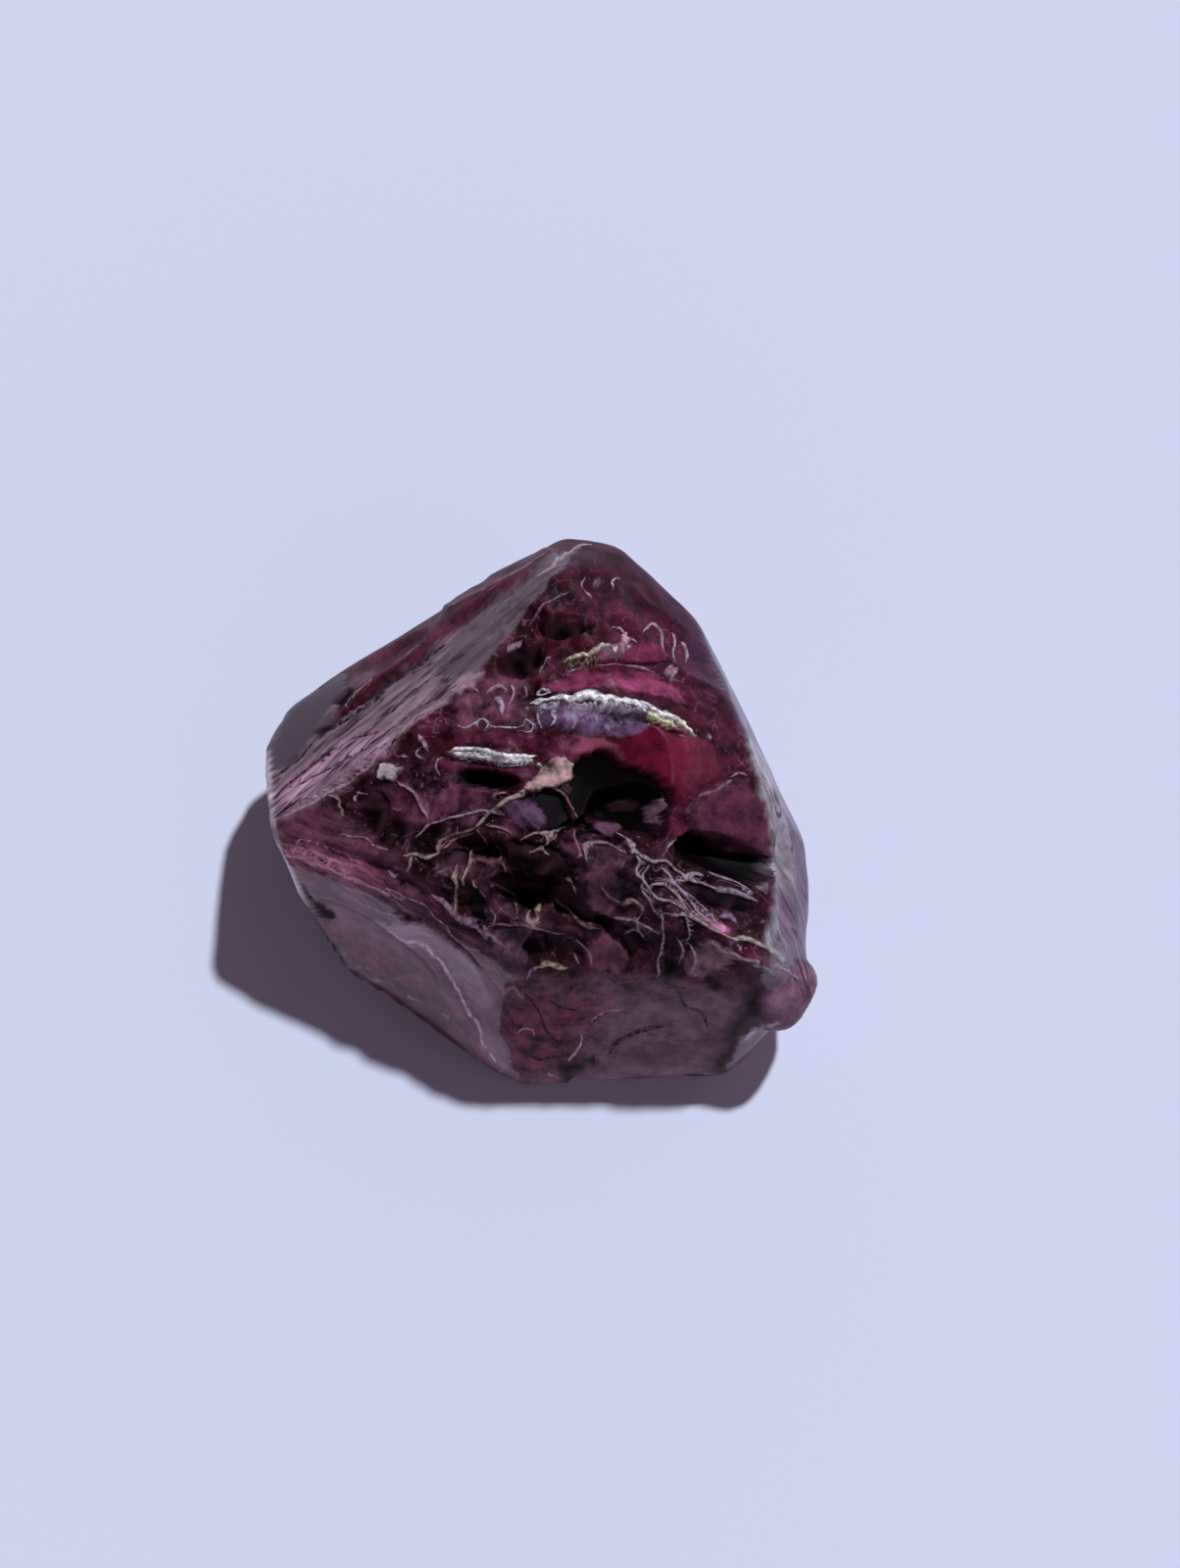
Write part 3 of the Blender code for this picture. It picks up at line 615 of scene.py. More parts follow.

# Areas with a colour of their own, and areas of painted light: painted glow in the red bands and patches,
# painted darkness in the near-black holes, and painted reflection and highlight on the strip, the crescent,
# the pink wedge and the right flank. Colour, clearness, roughness, mottling, softness of the edge, height,
# plan points round the outline as for the grooves.
AREAS = {
    "left_facet_skin": ("#463440", 0.1, 0.2, 0.05, 0.25, 0, (-782, 139, -759, 206, -726, 276, -642, 334,
     -562, 384, -563, 313, -617, 224, -648, 159, -712, 102, -768, 72)),
    "lower_ground": ("#240c14", 0, 0.4, 1, 0.5, 0, (-496, 15, -307, 6, -92, -17, 179, 8, 377, -139, 622,
     -171, 663, -265, 633, -410, 408, -489, 134, -494, -85, -480, -216, -346, -331, -213, -472, -128)),
    "left_ground": ("#5a3444", 0, 0.4, 0.5, 0.4, 0, (-710, -81, -614, -51, -514, -74, -423, -163, -350, -233,
     -269, -320, -327, -319, -434, -252, -597, -207, -725, -164)),
    "left_shade": ("#2a0e18", 0, 0.4, 1, 0.4, 0, (-608, -21, -551, 12, -450, 82, -381, 128, -311, 112, -292,
     6, -350, -36, -364, -131, -423, -163, -506, -125, -564, -55)),
    "upper_ground": ("#3a0f1e", 0, 0.4, 0.75, 0.4, 0, (24, 566, 105, 654, 244, 631, 387, 498, 425, 332, 382,
     356, 241, 410, 107, 392, -85, 280, -140, 307, -32, 459)),
    "apex": ("#300814", 0, 0.4, 0.5, 0.35, 0, (92, 677, 204, 720, 315, 616, 357, 523, 275, 524, 132, 522,
     106, 602)),
    "mid_mauve": ("#50283a", 0, 0.4, 1, 0.25, 0, (-307, 6, -145, -22, -83, -45, -169, -98, -282, -121, -381,
     -131, -346, -47)),
    "slit_left": ("#4a2838", 0, 0.4, 1, 0.15, 0.05, (-309, 76, -237, 66, -243, 5, -285, -11, -313, 20)),
    "shoulder_ground": ("#3c1626", 0, 0.4, 0.8, 0.3, 0, (387, 498, 477, 306, 542, 126, 583, 16, 501, 9, 500,
     93, 446, 175, 420, 295)),
    "mid_left": ("#583240", 0, 0.4, 1, 0.3, 0, (-224, 270, -140, 307, -63, 305, -18, 225, -17, 158, -114,
     182, -202, 153, -271, 182)),
    "strip_side": ("#300a16", 0, 0.4, 0.8, 0.2, 0, (-162, 310, -108, 393, -32, 498, 30, 574, 78, 660, 134,
     720, 165, 665, 108, 570, 32, 478, -31, 412, -102, 322)),
    # Painted glow: the red, crimson, magenta and salmon bands and patches stand for light coming back out of
    # the stone.
    "crimson_upper": ("#561a34", 0, 0.4, 0.8, 0.2, 0, (130, 360, 241, 410, 341, 446, 395, 400, 303, 356, 162,
     335)),
    "red_band": ("#833355", 0.15, 0.4, 0.6, 0.12, 0, (5, 276, 65, 302, 135, 307, 243, 316, 324, 308, 392,
     283, 404, 243, 327, 260, 246, 271, 161, 268, 80, 267, 16, 263)),
    "red_patch": ("#620d2a", 0.15, 0.4, 0.45, 0.22, 0.08, (245, 115, 277, 156, 317, 162, 370, 150, 434, 125,
     432, 57, 411, -13, 384, -50, 353, -3, 326, 37, 278, 77)),
    "red_patch_side": ("#5b1c2d", 0.15, 0.4, 0.5, 0.4, 0.05, (409, 133, 463, 117, 498, 87, 489, 37, 438, -1,
     394, -1, 413, 67)),
    "magenta_band": ("#5d1c39", 0.15, 0.4, 0.6, 0.14, 0, (-241, 150, -143, 136, 27, 135, 159, 108, 59, 89,
     -17, 106, -145, 116, -231, 128)),
    "salmon_band": ("#703848", 0, 0.4, 0.8, 0.14, 0.03, (42, 136, 104, 154, 184, 146, 249, 117, 276, 85, 211,
     114, 125, 106, 60, 109)),
    "slit_lip": ("#521a34", 0, 0.4, 0.3, 0.06, 0.05, (-288, 72, -206, 65, -86, 43, -8, 61, -17, 14, -65, 1,
     -101, 30, -202, 48, -278, 49)),
    "lavender": ("#5e4662", 0, 0.4, 1, 0.16, 0, (-8, 221, 130, 206, 245, 197, 312, 163, 287, 154, 212, 154,
     56, 160, -6, 175)),
    "lavender_core": ("#8a7090", 0, 0.4, 1, 0.2, 0, (66, 205, 160, 205, 261, 191, 260, 174, 146, 179, 68,
     183)),
    "low_lump": ("#462232", 0, 0.4, 0.6, 0.2, 0.22, (409, -123, 415, -67, 458, -27, 518, 12, 574, 15, 601,
     -35, 625, -117, 619, -166, 620, -197, 554, -186)),
    # Painted darkness: the near-black holes stand for light lost in the depths of the stone.
    "arch": ("#040102", 0, 0.6, 0.1, 0.06, -0.25, (101, 53, 137, 98, 209, 109, 260, 78, 318, 38, 348, 5, 369,
     -53, 361, -101, 342, -147, 304, -158, 295, -124, 186, -136, 148, -184, 108, -100, 108, -12)),
    "slit": ("#040102", 0, 0.6, 0.1, 0.05, -0.2, (-237, 36, -204, 45, -125, 34, -64, 11, -78, -5, -157, -10,
     -236, 0)),
    "wedge": ("#040102", 0, 0.6, 0.1, 0.07, -0.3, (365, -164, 408, -131, 473, -141, 553, -188, 603, -208,
     615, -187, 679, -205, 634, -253, 595, -278, 542, -258, 469, -234, 393, -213)),
    "wedge_low": ("#0a0306", 0, 0.6, 0.3, 0.08, -0.12, (413, -282, 465, -277, 533, -297, 579, -315, 580,
     -350, 507, -346, 440, -318)),
    "centre_hole": ("#0a0204", 0, 0.6, 0.5, 0.12, -0.2, (-208, -191, -84, -160, -2, -183, 79, -205, 120,
     -249, 97, -291, 45, -339, 35, -366, -49, -370, -133, -323, -138, -264, -102, -245, -164, -233)),
    "diagonal_hole": ("#080204", 0, 0.6, 0.4, 0.1, -0.2, (27, -282, 111, -299, 135, -346, 222, -387, 294,
     -427, 318, -459, 258, -481, 212, -439, 142, -392, 63, -379, 17, -361)),
    "block_hole": ("#0a0304", 0, 0.6, 0.4, 0.06, -0.12, (-44, -424, 14, -417, 26, -467, -16, -483, -45,
     -464)),
    "left_hole": ("#080204", 0, 0.6, 0.4, 0.15, -0.1, (-520, -25, -489, 1, -448, -6, -429, -50, -435, -107,
     -455, -136, -495, -119, -515, -69)),
    "side_hole": ("#0a0305", 0, 0.6, 0.5, 0.08, -0.12, (-200, -289, -170, -276, -156, -334, -162, -384, -193,
     -379, -206, -340)),
    "loop_hole": ("#0a0305", 0, 0.6, 0.4, 0.06, -0.12, (-296, -209, -272, -193, -241, -211, -225, -238, -249,
     -244, -282, -234)),
    "upper_hole": ("#0a0204", 0, 0.6, 0.3, 0.08, -0.2, (0, 466, 55, 493, 109, 486, 154, 457, 136, 435, 72,
     456, 11, 453)),
    "upper_left_hole": ("#0a0204", 0, 0.6, 0.4, 0.12, -0.2, (-104, 384, -60, 416, 10, 424, 15, 341, -10, 310,
     -66, 310, -105, 367)),
    "vein_hole": ("#060203", 0, 0.6, 0.2, 0.06, -0.15, (-134, -40, -59, -23, -3, -17, 69, -24, 89, -100, 97,
     -174, 42, -154, 16, -100, -18, -56, -71, -45)),
    "web_hole": ("#0a0306", 0, 0.6, 0.4, 0.08, -0.12, (176, -216, 220, -212, 205, -250, 175, -261, 157,
     -239)),
    "web_hole_low": ("#0e0508", 0, 0.6, 0.6, 0.08, -0.12, (349, -435, 381, -425, 391, -493, 355, -506)),
    "between_hole": ("#12060a", 0, 0.6, 0.7, 0.2, -0.05, (-419, -108, -336, -119, -281, -113, -223, -109,
     -261, -140, -323, -175, -373, -174, -426, -153)),
    "web_ground": ("#120609", 0, 0.6, 1, 0.3, -0.05, (271, -193, 389, -225, 464, -271, 402, -304, 349, -290,
     299, -284, 256, -245)),
    "brown_patch": ("#58363f", 0, 0.4, 0.5, 0.06, 0.02, (127, -269, 167, -253, 216, -269, 236, -309, 226,
     -350, 185, -366, 145, -350, 126, -313)),
    "patch_upper": ("#3e2430", 0, 0.4, 0.7, 0.06, 0.02, (142, -207, 194, -207, 247, -200, 230, -222, 212,
     -262, 152, -267, 129, -233)),
    "chip": ("#583a4c", 0, 0.4, 0.5, 0.04, 0.1, (201, -177, 223, -140, 280, -131, 298, -139, 294, -159, 256,
     -179, 211, -192)),
    "chip_high": ("#2c1820", 0, 0.4, 0.5, 0.05, 0.06, (279, -58, 318, -44, 331, -60, 322, -88, 289, -90)),
    "pebble": ("#7a5866", 0, 0.4, 0.6, 0.04, 0.14, (338, -87, 343, -53, 350, -46, 361, -70, 354, -109, 342,
     -118)),
    "nodule": ("#907472", 0, 0.4, 1, 0.05, 0.16, (-43, -14, -17, 9, 6, 50, 32, 74, 78, 84, 107, 68, 114, 23,
     67, 0, 16, -10, -18, -26)),
    "mauve_patch": ("#4a3048", 0, 0.4, 0.6, 0.08, 0.06, (-100, -67, -47, -41, -3, -63, 22, -119, -8, -137,
     -56, -124)),
    "low_patch": ("#603844", 0, 0.4, 0.7, 0.08, 0.06, (127, -438, 171, -418, 230, -446, 247, -476, 223, -510,
     162, -510, 134, -484)),
    "low_patch_right": ("#745460", 0, 0.4, 0.7, 0.08, 0.06, (407, -495, 431, -452, 466, -429, 519, -448, 558,
     -476, 516, -505, 449, -515)),
    "low_patch_left": ("#583c4c", 0, 0.4, 0.9, 0.1, 0.04, (-137, -399, -91, -388, -30, -402, -49, -450, -35,
     -475, -64, -509, -102, -493, -128, -455)),
    # Painted glint: a small whitish spot.
    "white_glint": ("#b8a8a8", 0, 0.4, 0.6, 0.04, 0.12, (-456, 46, -436, 65, -411, 64, -391, 48, -417, 25,
     -455, 25)),
    "dot_a": ("#a08090", 0, 0.4, 0.6, 0.04, 0.1, (347, 337, 363, 354, 381, 340, 369, 314)),
    "dot_b": ("#b89098", 0, 0.4, 0.5, 0.04, 0.1, (217, 423, 231, 434, 243, 418, 231, 396)),
    "dot_c": ("#80586c", 0, 0.4, 0.5, 0.04, 0.08, (152, 600, 164, 618, 180, 609, 168, 593)),
    "pink_glint": ("#e090bc", 0, 0.4, 0.1, 0.08, 0.12, (483, -392, 491, -385, 508, -381, 513, -387, 516,
     -399, 507, -406, 497, -406)),
    # Painted reflection of the sky on the strip, laid over its stripes.
    "strip_foot": ("#a07c8e", 0, 0.4, 0.1, 0.4, 0, (-766, -3, -696, 62, -585, 124, -471, 188, -409, 132,
     -447, 88, -569, 6, -661, -45, -737, -70)),
    "strip_rim": ("#8a707c", 0, 0.4, 0.1, 0.15, 0, (-419, 130, -341, 192, -278, 234, -200, 282, -162, 320,
     -185, 327, -274, 272, -351, 224, -424, 163)),
    "strip_head": ("#665860", 0, 0.4, 0.1, 0.1, 0, (-307, 325, -264, 406, -169, 509, -59, 595, 22, 653, 111,
     745, 78, 669, 29, 580, -32, 505, -103, 411, -168, 332, -237, 315)),
    "outer_red": ("#531528", 0.15, 0.4, 0.5, 0.12, 0, (-621, 195, -551, 281, -466, 356, -373, 423, -283, 481,
     -140, 554, -18, 633, -31, 599, -141, 535, -268, 452, -395, 371, -503, 281, -593, 201)),
    "outer_dark": ("#14040a", 0, 0.4, 0.3, 0.08, -0.05, (-584, 286, -545, 314, -521, 314, -540, 288, -571,
     259)),
    "outer_dark_low": ("#14040a", 0, 0.4, 0.3, 0.08, -0.05, (-638, 165, -614, 206, -591, 212, -607, 177,
     -628, 154)),
    # Painted highlight: the pink wedge is drawn light where its streaks catch the light.
    "pink_wedge": ("#9c6076", 0, 0.4, 0.1, 0.3, 0, (-737, -142, -663, -152, -555, -193, -434, -252, -347,
     -290, -457, -284, -582, -240, -695, -202, -721, -181)),
    "flank_slot": ("#1a060c", 0, 0.4, 0.2, 0.1, -0.05, (-692, -235, -665, -249, -632, -289, -612, -331, -626,
     -341, -649, -316, -672, -275)),
    # Painted reflection: the crescent on the front left face is drawn light where it mirrors the lit paper.
    "crescent": ("#ac90a0", 0, 0.3, 0.05, 0.15, 0, (-469, -352, -367, -372, -297, -449, -210, -535, -144,
     -616, -111, -674, -101, -744, -135, -711, -186, -645, -250, -563, -320, -481, -399, -397)),
    # Painted reflection of the bright paper on the steep right flank.
    "right_grey": ("#8c8890", 0, 0.3, 0.2, 0.25, 0, (576, 156, 617, 147, 663, 70, 683, -52, 708, -154, 709,
     -254, 676, -372, 646, -446, 635, -424, 667, -321, 662, -238, 652, -115, 621, -6, 596, 75)),
    "front_dark": ("#5c303e", 0, 0.4, 0.9, 1.2, 0, (-104, -528, 23, -522, 135, -538, 212, -576, 155, -629,
     100, -665, 151, -716, 51, -755, -62, -743, -128, -646)),
    "front_blotch": ("#0c0304", 0, 0.4, 0.3, 0.15, -0.04, (37, -753, 91, -713, 166, -713, 143, -736, 78,
     -754)),
    "knob_shade": ("#1c060c", 0, 0.4, 0.3, 0.5, 0, (583, -523, 613, -524, 631, -547, 608, -614, 558, -665,
     528, -731, 493, -743, 525, -666, 565, -593)),
}

# Growth stripes, left as the crystal grew in steps: their plan direction and strength on each face, and areas
# with a strength of their own.
STRIPES = {
    "strip": (41.0, 0.9),
    "left_facet": (41.0, 0.2),
    "outer_strip": (41.0, 0.8),
    "pink_band": (-27.0, 0.8),
    "top_left": (-20.0, 0.0),
    "front_left": (-38.0, 0.35),
    "front": (-2.0, 0.2),
    "right_mid": (-73.0, 0.9),
    "right_back": (-73.0, 0.8),
    "shoulder_out": (-50.0, 0.3),
}
AREA_STRIPES = {"left_ground": 0.6, "pink_wedge": 1.0, "outer_red": 0.7, "crescent": 0.2, "strip_head": 0.45,
                "strip_rim": 1.0, "strip_foot": 1.0, "right_grey": 1.0}
STRIPE_SPACING = 0.20
STRIPE_LENGTH = 1.8


def outline_depth(place, points):
    """How far each place lies inside a smooth closed outline, less than 0 outside it."""
    gap = line_gap(place, points + points[:1])[0]
    x, y = place.T
    inside = np.zeros(len(place), bool)
    for (ax, ay), (bx, by) in zip(points, points[1:] + points[:1]):
        if ay != by:
            inside ^= ((ay > y) != (by > y)) & (x < (bx - ax) * (y - ay) / (by - ay) + ax)
    return np.where(inside, gap, -gap)


skin = np.tile(linear(FLANK_SKIN[0]), (len(point), 1))
clear, gloss, mottled = (np.full(len(point), value) for value in FLANK_SKIN[1:])


def lay(share, code, clearness, roughness, mottling):
    """Lays a colour with its clearness, roughness and mottling over the stone, as far as its share goes."""
    share = np.clip(share, 0.0, 1.0)
    skin[:] += share[:, None] * (linear(code) - skin)
    clear[:] += share * (clearness - clear)
    gloss[:] += share * (roughness - gloss)
    mottled[:] += share * (mottling - mottled)


for name, finish in FACE_SKIN.items():
    lay(face_share[name], *finish)
lay(knob_share, *KNOB_SKIN)
lay(rough, *GROUND_SKIN)
streaked = sum(strength * face_share[name] for name, (_, strength) in STRIPES.items())
dull = sum(face_share[name] for name in DULL_FACES)
dull = np.maximum(dull, np.maximum(rough, knob_share))
ragged = plan + 0.05 * warp + 0.09 * bend + 0.05 * kink
for name, (code, clearness, roughness, mottling, softness, height, numbers) in AREAS.items():
    depth = outline_depth(ragged, plan_points(numbers))
    share = smooth_step(-softness / 2.0, softness / 2.0, depth) * upper_side
    lay(share, code, clearness, roughness, mottling)
    lift += height * share
    streaked += share * (AREA_STRIPES.get(name, 0.0) - streaked)
    dull += share * ((roughness > DULL_ROUGHNESS) - dull)
# Painted shade in the pits of the broken ground, and painted light on the crests between them.
lay(rough * smooth_step(0.1, 0.6, crests) * 0.5, *PIT_SHADE)
lay(rough * smooth_step(0.22, 0.03, crests) * 0.25, *CREST_LIGHT)
# Painted shade in the grooves.
lay(groove_shade_share, *GROOVE_SHADE)
# A painted highlight: the edge between the upper side and the flanks is drawn pale for a few millimetres at
# the far left, where it catches the light.
edge_gap = np.abs(np.log(upper_side + 1e-9) - np.log(1.0 - upper_side + 1e-9))
rim_highlight = smooth_step(3.2, 0.8, edge_gap) * smooth_step(-6.2, -6.8, plan[:, 0])
rim_highlight *= smooth_step(-3.2, -2.4, plan[:, 1]) * smooth_step(1.6, 1.2, plan[:, 1])
lay(rim_highlight, *RIM_HIGHLIGHT)
dull = np.maximum(dull, np.maximum(1.2 * groove_shade_share, (line_nearest < 1.2) & (line_lift < 0.0)))

striped_faces = list(STRIPES)
leader = np.array([face_share[name] for name in striped_faces]).argmax(0)
heading = np.radians(np.array([STRIPES[name][0] for name in striped_faces]))[leader]
across = plan[:, 1] * np.cos(heading) - plan[:, 0] * np.sin(heading)
along = plan[:, 0] * np.cos(heading) + plan[:, 1] * np.sin(heading)
grain = np.stack([across / STRIPE_SPACING, along / STRIPE_LENGTH, 7.0 * leader], 1)

# The mesh of the stone: the grid of points, closed by one flat face in the middle of the base.
point = point + direction * lift[:, None]
point[:, 2] = np.maximum(point[:, 2], 0.0)
count = GRID_CELLS + 1
number = np.arange(count * count).reshape(count, count)
quads = np.stack([number[:-1, :-1], number[1:, :-1], number[1:, 1:], number[:-1, 1:]], -1).reshape(-1, 4)
rim = np.concatenate([number[0, :-1], number[:-1, -1], number[-1, :0:-1], number[:0:-1, 0]])
mesh = bpy.data.meshes.new("garnet_stone")
mesh.from_pydata((point * MM).tolist(), [], quads.tolist() + [rim.tolist()])
mesh.validate()
mesh.polygons.foreach_set("use_smooth", np.ones(len(mesh.polygons), bool))
colours = {"skin": skin, "line_colour": line_colour}
for name, values in colours.items():
    filled = np.concatenate([values, np.ones((len(values), 1))], 1)
    stored = mesh.attributes.new(name, "FLOAT_COLOR", "POINT")
    stored.data.foreach_set("color", filled.ravel().astype(np.float32))
stored = mesh.attributes.new("grain", "FLOAT_VECTOR", "POINT")
stored.data.foreach_set("vector", grain.ravel().astype(np.float32))
layers = {"clear": clear, "gloss": gloss, "mottled": mottled, "streaked": streaked,
          "line_gap": line_nearest, "line_cross": line_nearest * line_side}
for name, values in layers.items():
    stored = mesh.attributes.new(name, "FLOAT", "POINT")
    stored.data.foreach_set("value", values.astype(np.float32))
BROKEN_FACES, GLOSSY_RIB, CRAZED_GROUND = 0, 1, 2
slot = np.where(dull[quads].mean(1) > 0.5, CRAZED_GROUND, BROKEN_FACES)
slot = np.where(rib_cover[quads].mean(1) > 0.4, GLOSSY_RIB, slot)
mesh.polygons.foreach_set("material_index", np.append(slot, BROKEN_FACES).astype(np.int32))

# Garnet with broken faces: a clear wine-red crystal with a greasy, glassy break. Clear places let light
# through to dark depths, and stained or crazed ones send it back from the surface; the red glow, the dark of
# the depths, much of the sheen and the light flecks are painted light in the skin colour. The real mottling
# goes down to a few hundredths of a millimetre, too fine to show here, so its specks are drawn 0.16 mm wide.
MOTTLE_SIZE = 0.65
SPECK_SIZE = 0.16
CURL_SIZE = 0.8
CURL_WIDTH = 0.011
GROWTH_SIZE = 1.6
BUMP_HEIGHT = 0.03
GARNET_IOR = 1.77
BREAK_MIRROR = 0.28
RIB_MIRROR = 0.6
GROUND_MIRROR = 0.03
DEPTH_COLOUR = "#8a1030"
DEPTH_DENSITY = 900.0
GROWTH_DARK = "#2a121e"
CURL = "#70505f"
GLINT_FLECK = "#8a5c74"


def add(tree, kind, settings, *links):
    """Adds a shader node with its settings and links; a link is a source socket and an input."""
    made = tree.nodes.new(kind)
    for key, value in settings.items():
        if isinstance(key, int) or key in made.inputs:
            made.inputs[key].default_value = value
        else:
            setattr(made, key, value)
    for source, target in links:
        tree.links.new(source, made.inputs[target])
    return made


garnet = bpy.data.materials.new("garnet_broken_faces")
garnet.use_nodes = True
tree = garnet.node_tree
shader = tree.nodes["Principled BSDF"]


def layer(name, socket="Fac"):
    """The output that reads one of the values stored on the stone."""
    return add(tree, "ShaderNodeAttribute", {"attribute_name": name}).outputs[socket]


def noise(source, size, detail, roughness):
    """Cloudy noise with patches of the given size."""
    settings = {"Scale": 1.0 / size, "Detail": detail, "Roughness": roughness}
    return add(tree, "ShaderNodeTexNoise", settings, (source, "Vector")).outputs["Fac"]


def ramp(source, low, high, to_low, to_high):
    """A value turned evenly from one range into another, and held at its ends."""
    settings = {"From Min": low, "From Max": high, "To Min": to_low, "To Max": to_high}
    return add(tree, "ShaderNodeMapRange", settings, (source, "Value")).outputs["Result"]


def maths(operation, first, second):
    """One sum on two sockets, or on a socket and a number."""
    if isinstance(second, float):
        return add(tree, "ShaderNodeMath", {"operation": operation, 1: second}, (first, 0)).outputs[0]
    return add(tree, "ShaderNodeMath", {"operation": operation}, (first, 0), (second, 1)).outputs[0]


def eased(share, value):
    """The value where the share is 1, and 1 where the share is 0."""
    settings = {"data_type": "FLOAT", 2: 1.0}
    return add(tree, "ShaderNodeMix", settings, (share, 0), (value, 3)).outputs[0]


def tint(share, first, second):
    """The first colour with the second, a socket or a hex code, laid over it."""
    if isinstance(second, str):
        settings = {"data_type": "RGBA", 7: (*linear(second), 1.0)}
        return add(tree, "ShaderNodeMix", settings, (share, 0), (first, 6)).outputs[2]
    return add(tree, "ShaderNodeMix", {"data_type": "RGBA"}, (share, 0), (first, 6), (second, 7)).outputs[2]


where = add(tree, "ShaderNodeTexCoord", {}).outputs["Object"]
mottled_share = layer("mottled")
streaked_share = layer("streaked")
clouds = noise(where, MOTTLE_SIZE * MM, 7.0, 0.7)
specks = noise(where, SPECK_SIZE * MM, 3.0, 0.6)
curls = noise(where, CURL_SIZE * MM, 1.5, 0.5)
stripes = noise(layer("grain", "Vector"), 1.0, 4.0, 0.6)
cloud_shade = ramp(clouds, 0.37, 0.64, 0.08, 2.5)
stripe_shade = ramp(stripes, 0.36, 0.64, 0.42, 1.58)
shade = maths("MULTIPLY", eased(mottled_share, cloud_shade), eased(streaked_share, stripe_shade))
skin_colour = layer("skin", "Color")
base = add(tree, "ShaderNodeVectorMath", {"operation": "SCALE"}, (skin_colour, 0), (shade, 3)).outputs[0]
curl_gap = maths("ABSOLUTE", maths("SUBTRACT", curls, 0.5), 0.0)
curl_core = ramp(curl_gap, CURL_WIDTH, CURL_WIDTH / 3.0, 0.0, 0.8)
curl_share = maths("MULTIPLY", curl_core, ramp(clouds, 0.46, 0.54, 0.0, 1.0))
curl_share = maths("MULTIPLY", curl_share, ramp(mottled_share, 0.5, 0.9, 0.0, 1.0))
# Painted glints: small light flecks on the mottled ground.
glint_fleck_share = maths("MULTIPLY", ramp(specks, 0.63, 0.70, 0.0, 0.6), ramp(mottled_share, 0.5, 1.0, 0.0, 1.0))
line_core = ramp(maths("ABSOLUTE", layer("line_cross"), 0.0), 1.15, 0.5, 0.0, 1.0)
line_share = maths("MULTIPLY", line_core, ramp(layer("line_gap"), 3.0, 2.2, 0.0, 1.0))
line_share = maths("MULTIPLY", line_share, ramp(specks, 0.40, 0.56, 0.35, 1.0))
growth = noise(layer("grain", "Vector"), GROWTH_SIZE, 2.0, 0.5)
growth_gap = maths("ABSOLUTE", maths("SUBTRACT", growth, 0.5), 0.0)
growth_share = maths("MULTIPLY", ramp(growth_gap, 0.022, 0.008, 0.0, 0.85), streaked_share)
covered = tint(growth_share, base, GROWTH_DARK)
covered = tint(curl_share, covered, CURL)
covered = tint(glint_fleck_share, covered, GLINT_FLECK)
covered = tint(line_share, covered, layer("line_colour", "Color"))
tree.links.new(covered, shader.inputs["Base Color"])
bare_share = ramp(maths("MAXIMUM", line_share, curl_share), 0.0, 1.0, 1.0, 0.0)
window = maths("MULTIPLY", layer("clear"), bare_share)
tree.links.new(window, shader.inputs["Transmission Weight"])
tree.links.new(layer("gloss"), shader.inputs["Roughness"])
relief = maths("ADD", maths("MULTIPLY", clouds, mottled_share), maths("MULTIPLY", stripes, streaked_share))
bump = add(tree, "ShaderNodeBump", {"Strength": 1.0, "Distance": BUMP_HEIGHT * MM}, (relief, "Height"))
tree.links.new(bump.outputs["Normal"], shader.inputs["Normal"])
shader.inputs["IOR"].default_value = GARNET_IOR
shader.inputs["Specular IOR Level"].default_value = BREAK_MIRROR
depth_settings = {"Color": (*linear(DEPTH_COLOUR), 1.0), "Density": DEPTH_DENSITY}
absorb = add(tree, "ShaderNodeVolumeAbsorption", depth_settings)
tree.links.new(absorb.outputs["Volume"], tree.nodes["Material Output"].inputs["Volume"])
mesh.materials.append(garnet)

# Garnet ribs: fresh glassy breaks, which mirror more than the rest.
ribs = garnet.copy()
ribs.name = "garnet_glossy_ribs"
ribs.node_tree.nodes["Principled BSDF"].inputs["Specular IOR Level"].default_value = RIB_MIRROR
mesh.materials.append(ribs)

# Garnet ground: crazed and rubbed, so it mirrors little.
ground = garnet.copy()
ground.name = "garnet_crazed_ground"
ground.node_tree.nodes["Principled BSDF"].inputs["Specular IOR Level"].default_value = GROUND_MIRROR
mesh.materials.append(ground)

stone = bpy.data.objects.new("garnet_stone", mesh)
bpy.context.scene.collection.objects.link(stone)
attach(stone, "root")
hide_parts("garnet_crystal")

# The sheet it lies on: a wide plain piece of matt paper, a hair's breadth under the stone. Paper scatters
# light evenly, so it shows the shadow and nothing else.
SHEET_HALF = 600.0
SHEET_DROP = 0.02
SHEET_COLOUR = "#e5eafc"
SHEET_ROUGHNESS = 0.85
sheet_mesh = bpy.data.meshes.new("paper_sheet")
reach = SHEET_HALF * MM
corners = ((-reach, -reach), (reach, -reach), (reach, reach), (-reach, reach))
sheet_mesh.from_pydata([(x, y, -SHEET_DROP * MM) for x, y in corners], [], [(0, 1, 2, 3)])
paper = bpy.data.materials.new("matt_paper")
paper.use_nodes = True
paper_shader = paper.node_tree.nodes["Principled BSDF"]
paper_shader.inputs["Base Color"].default_value = (*linear(SHEET_COLOUR), 1.0)
paper_shader.inputs["Roughness"].default_value = SHEET_ROUGHNESS
sheet_mesh.materials.append(paper)
sheet = bpy.data.objects.new("paper_sheet", sheet_mesh)
bpy.context.scene.collection.objects.link(sheet)

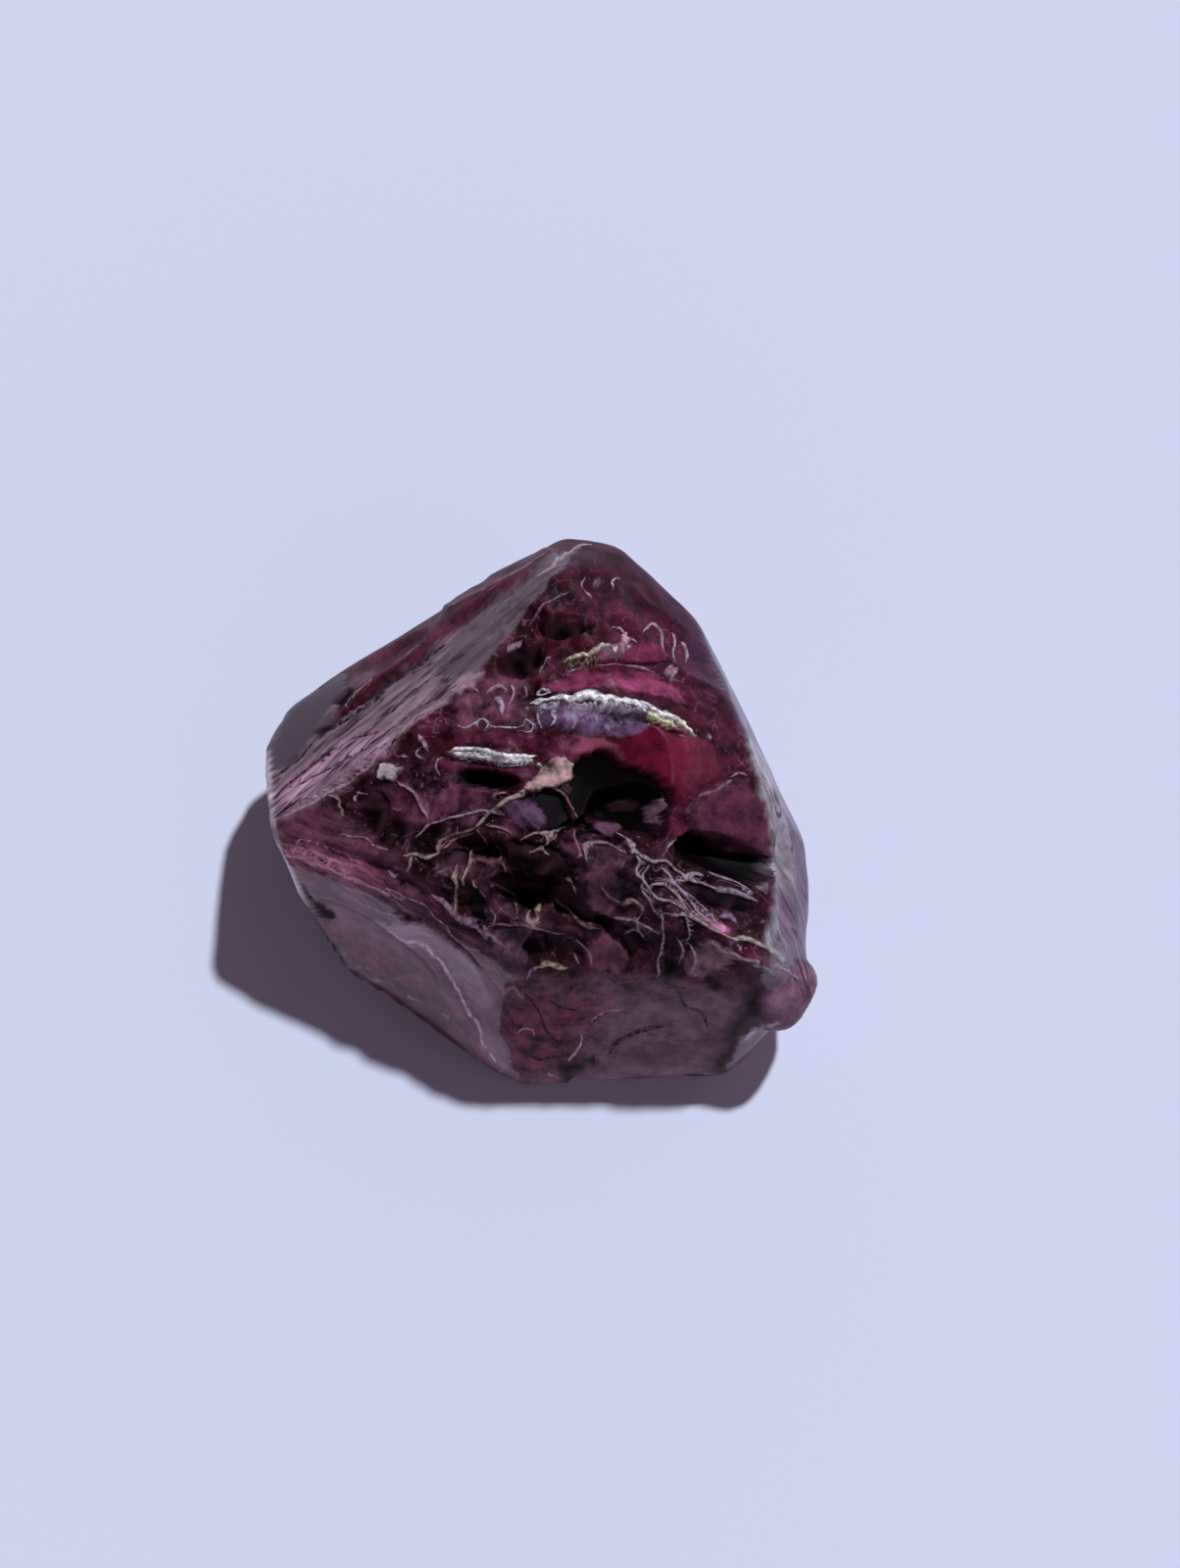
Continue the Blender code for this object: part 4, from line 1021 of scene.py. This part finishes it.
# Light: one soft lamp high up behind the stone to the right, in a room that is dim above and brighter low
# down and to the right. The flat faces mirror the bright part, and the hollows mirror the dim one.
LAMP_TILT = 37.0
LAMP_TURN = 148.0
LAMP_WIDTH = 3.0
LAMP_STRENGTH = 3.02
LAMP_COLOUR = (0.87, 0.91, 1.0)
ROOM_COLOUR = (1.0, 0.74, 0.95, 1.0)
ROOM_ABOVE = 0.035
ROOM_LEFT = 0.4
scene = bpy.context.scene
scene.view_settings.view_transform = "Standard"
lamp = bpy.data.lights.new("key_lamp", "SUN")
lamp.energy = LAMP_STRENGTH
lamp.angle = math.radians(LAMP_WIDTH)
lamp.color = LAMP_COLOUR
key = bpy.data.objects.new("key_lamp", lamp)
key.rotation_euler = (math.radians(LAMP_TILT), 0.0, math.radians(LAMP_TURN))
scene.collection.objects.link(key)
room = bpy.data.worlds.new("dim_room")
room.use_nodes = True
scene.world = room
sky = room.node_tree
aim = add(sky, "ShaderNodeTexCoord", {})
heading = add(sky, "ShaderNodeSeparateXYZ", {}, (aim.outputs["Generated"], 0))
fade = {"interpolation_type": "SMOOTHSTEP", "From Min": 0.12, "From Max": 0.6, "To Min": 1.0,
        "To Max": ROOM_ABOVE}
glow = add(sky, "ShaderNodeMapRange", fade, (heading.outputs["Z"], "Value"))
dim = {"From Min": -0.7, "From Max": 0.1, "To Min": ROOM_LEFT, "To Max": 1.0}
left = add(sky, "ShaderNodeMapRange", dim, (heading.outputs["X"], "Value"))
both = add(sky, "ShaderNodeMath", {"operation": "MULTIPLY"}, (glow.outputs[0], 0), (left.outputs[0], 1))
sky.nodes["Background"].inputs["Color"].default_value = ROOM_COLOUR
sky.links.new(both.outputs[0], sky.nodes["Background"].inputs["Strength"])

# Camera: nearly straight above the stone, with a long lens, so that the stone fills the middle of the frame.
CAMERA_PLACE = (1.389, -20.373, 122.259)
CAMERA_TILT = 10.0
LENS_LENGTH = 97.2
SENSOR_WIDTH = 36.0
NEAREST_SEEN = 10.0
lens = bpy.data.cameras.new("camera")
lens.lens = LENS_LENGTH
lens.sensor_width = SENSOR_WIDTH
lens.clip_start = NEAREST_SEEN * MM
camera = bpy.data.objects.new("camera", lens)
camera.location = [distance * MM for distance in CAMERA_PLACE]
camera.rotation_euler = (math.radians(CAMERA_TILT), 0.0, 0.0)
scene.collection.objects.link(camera)
scene.camera = camera
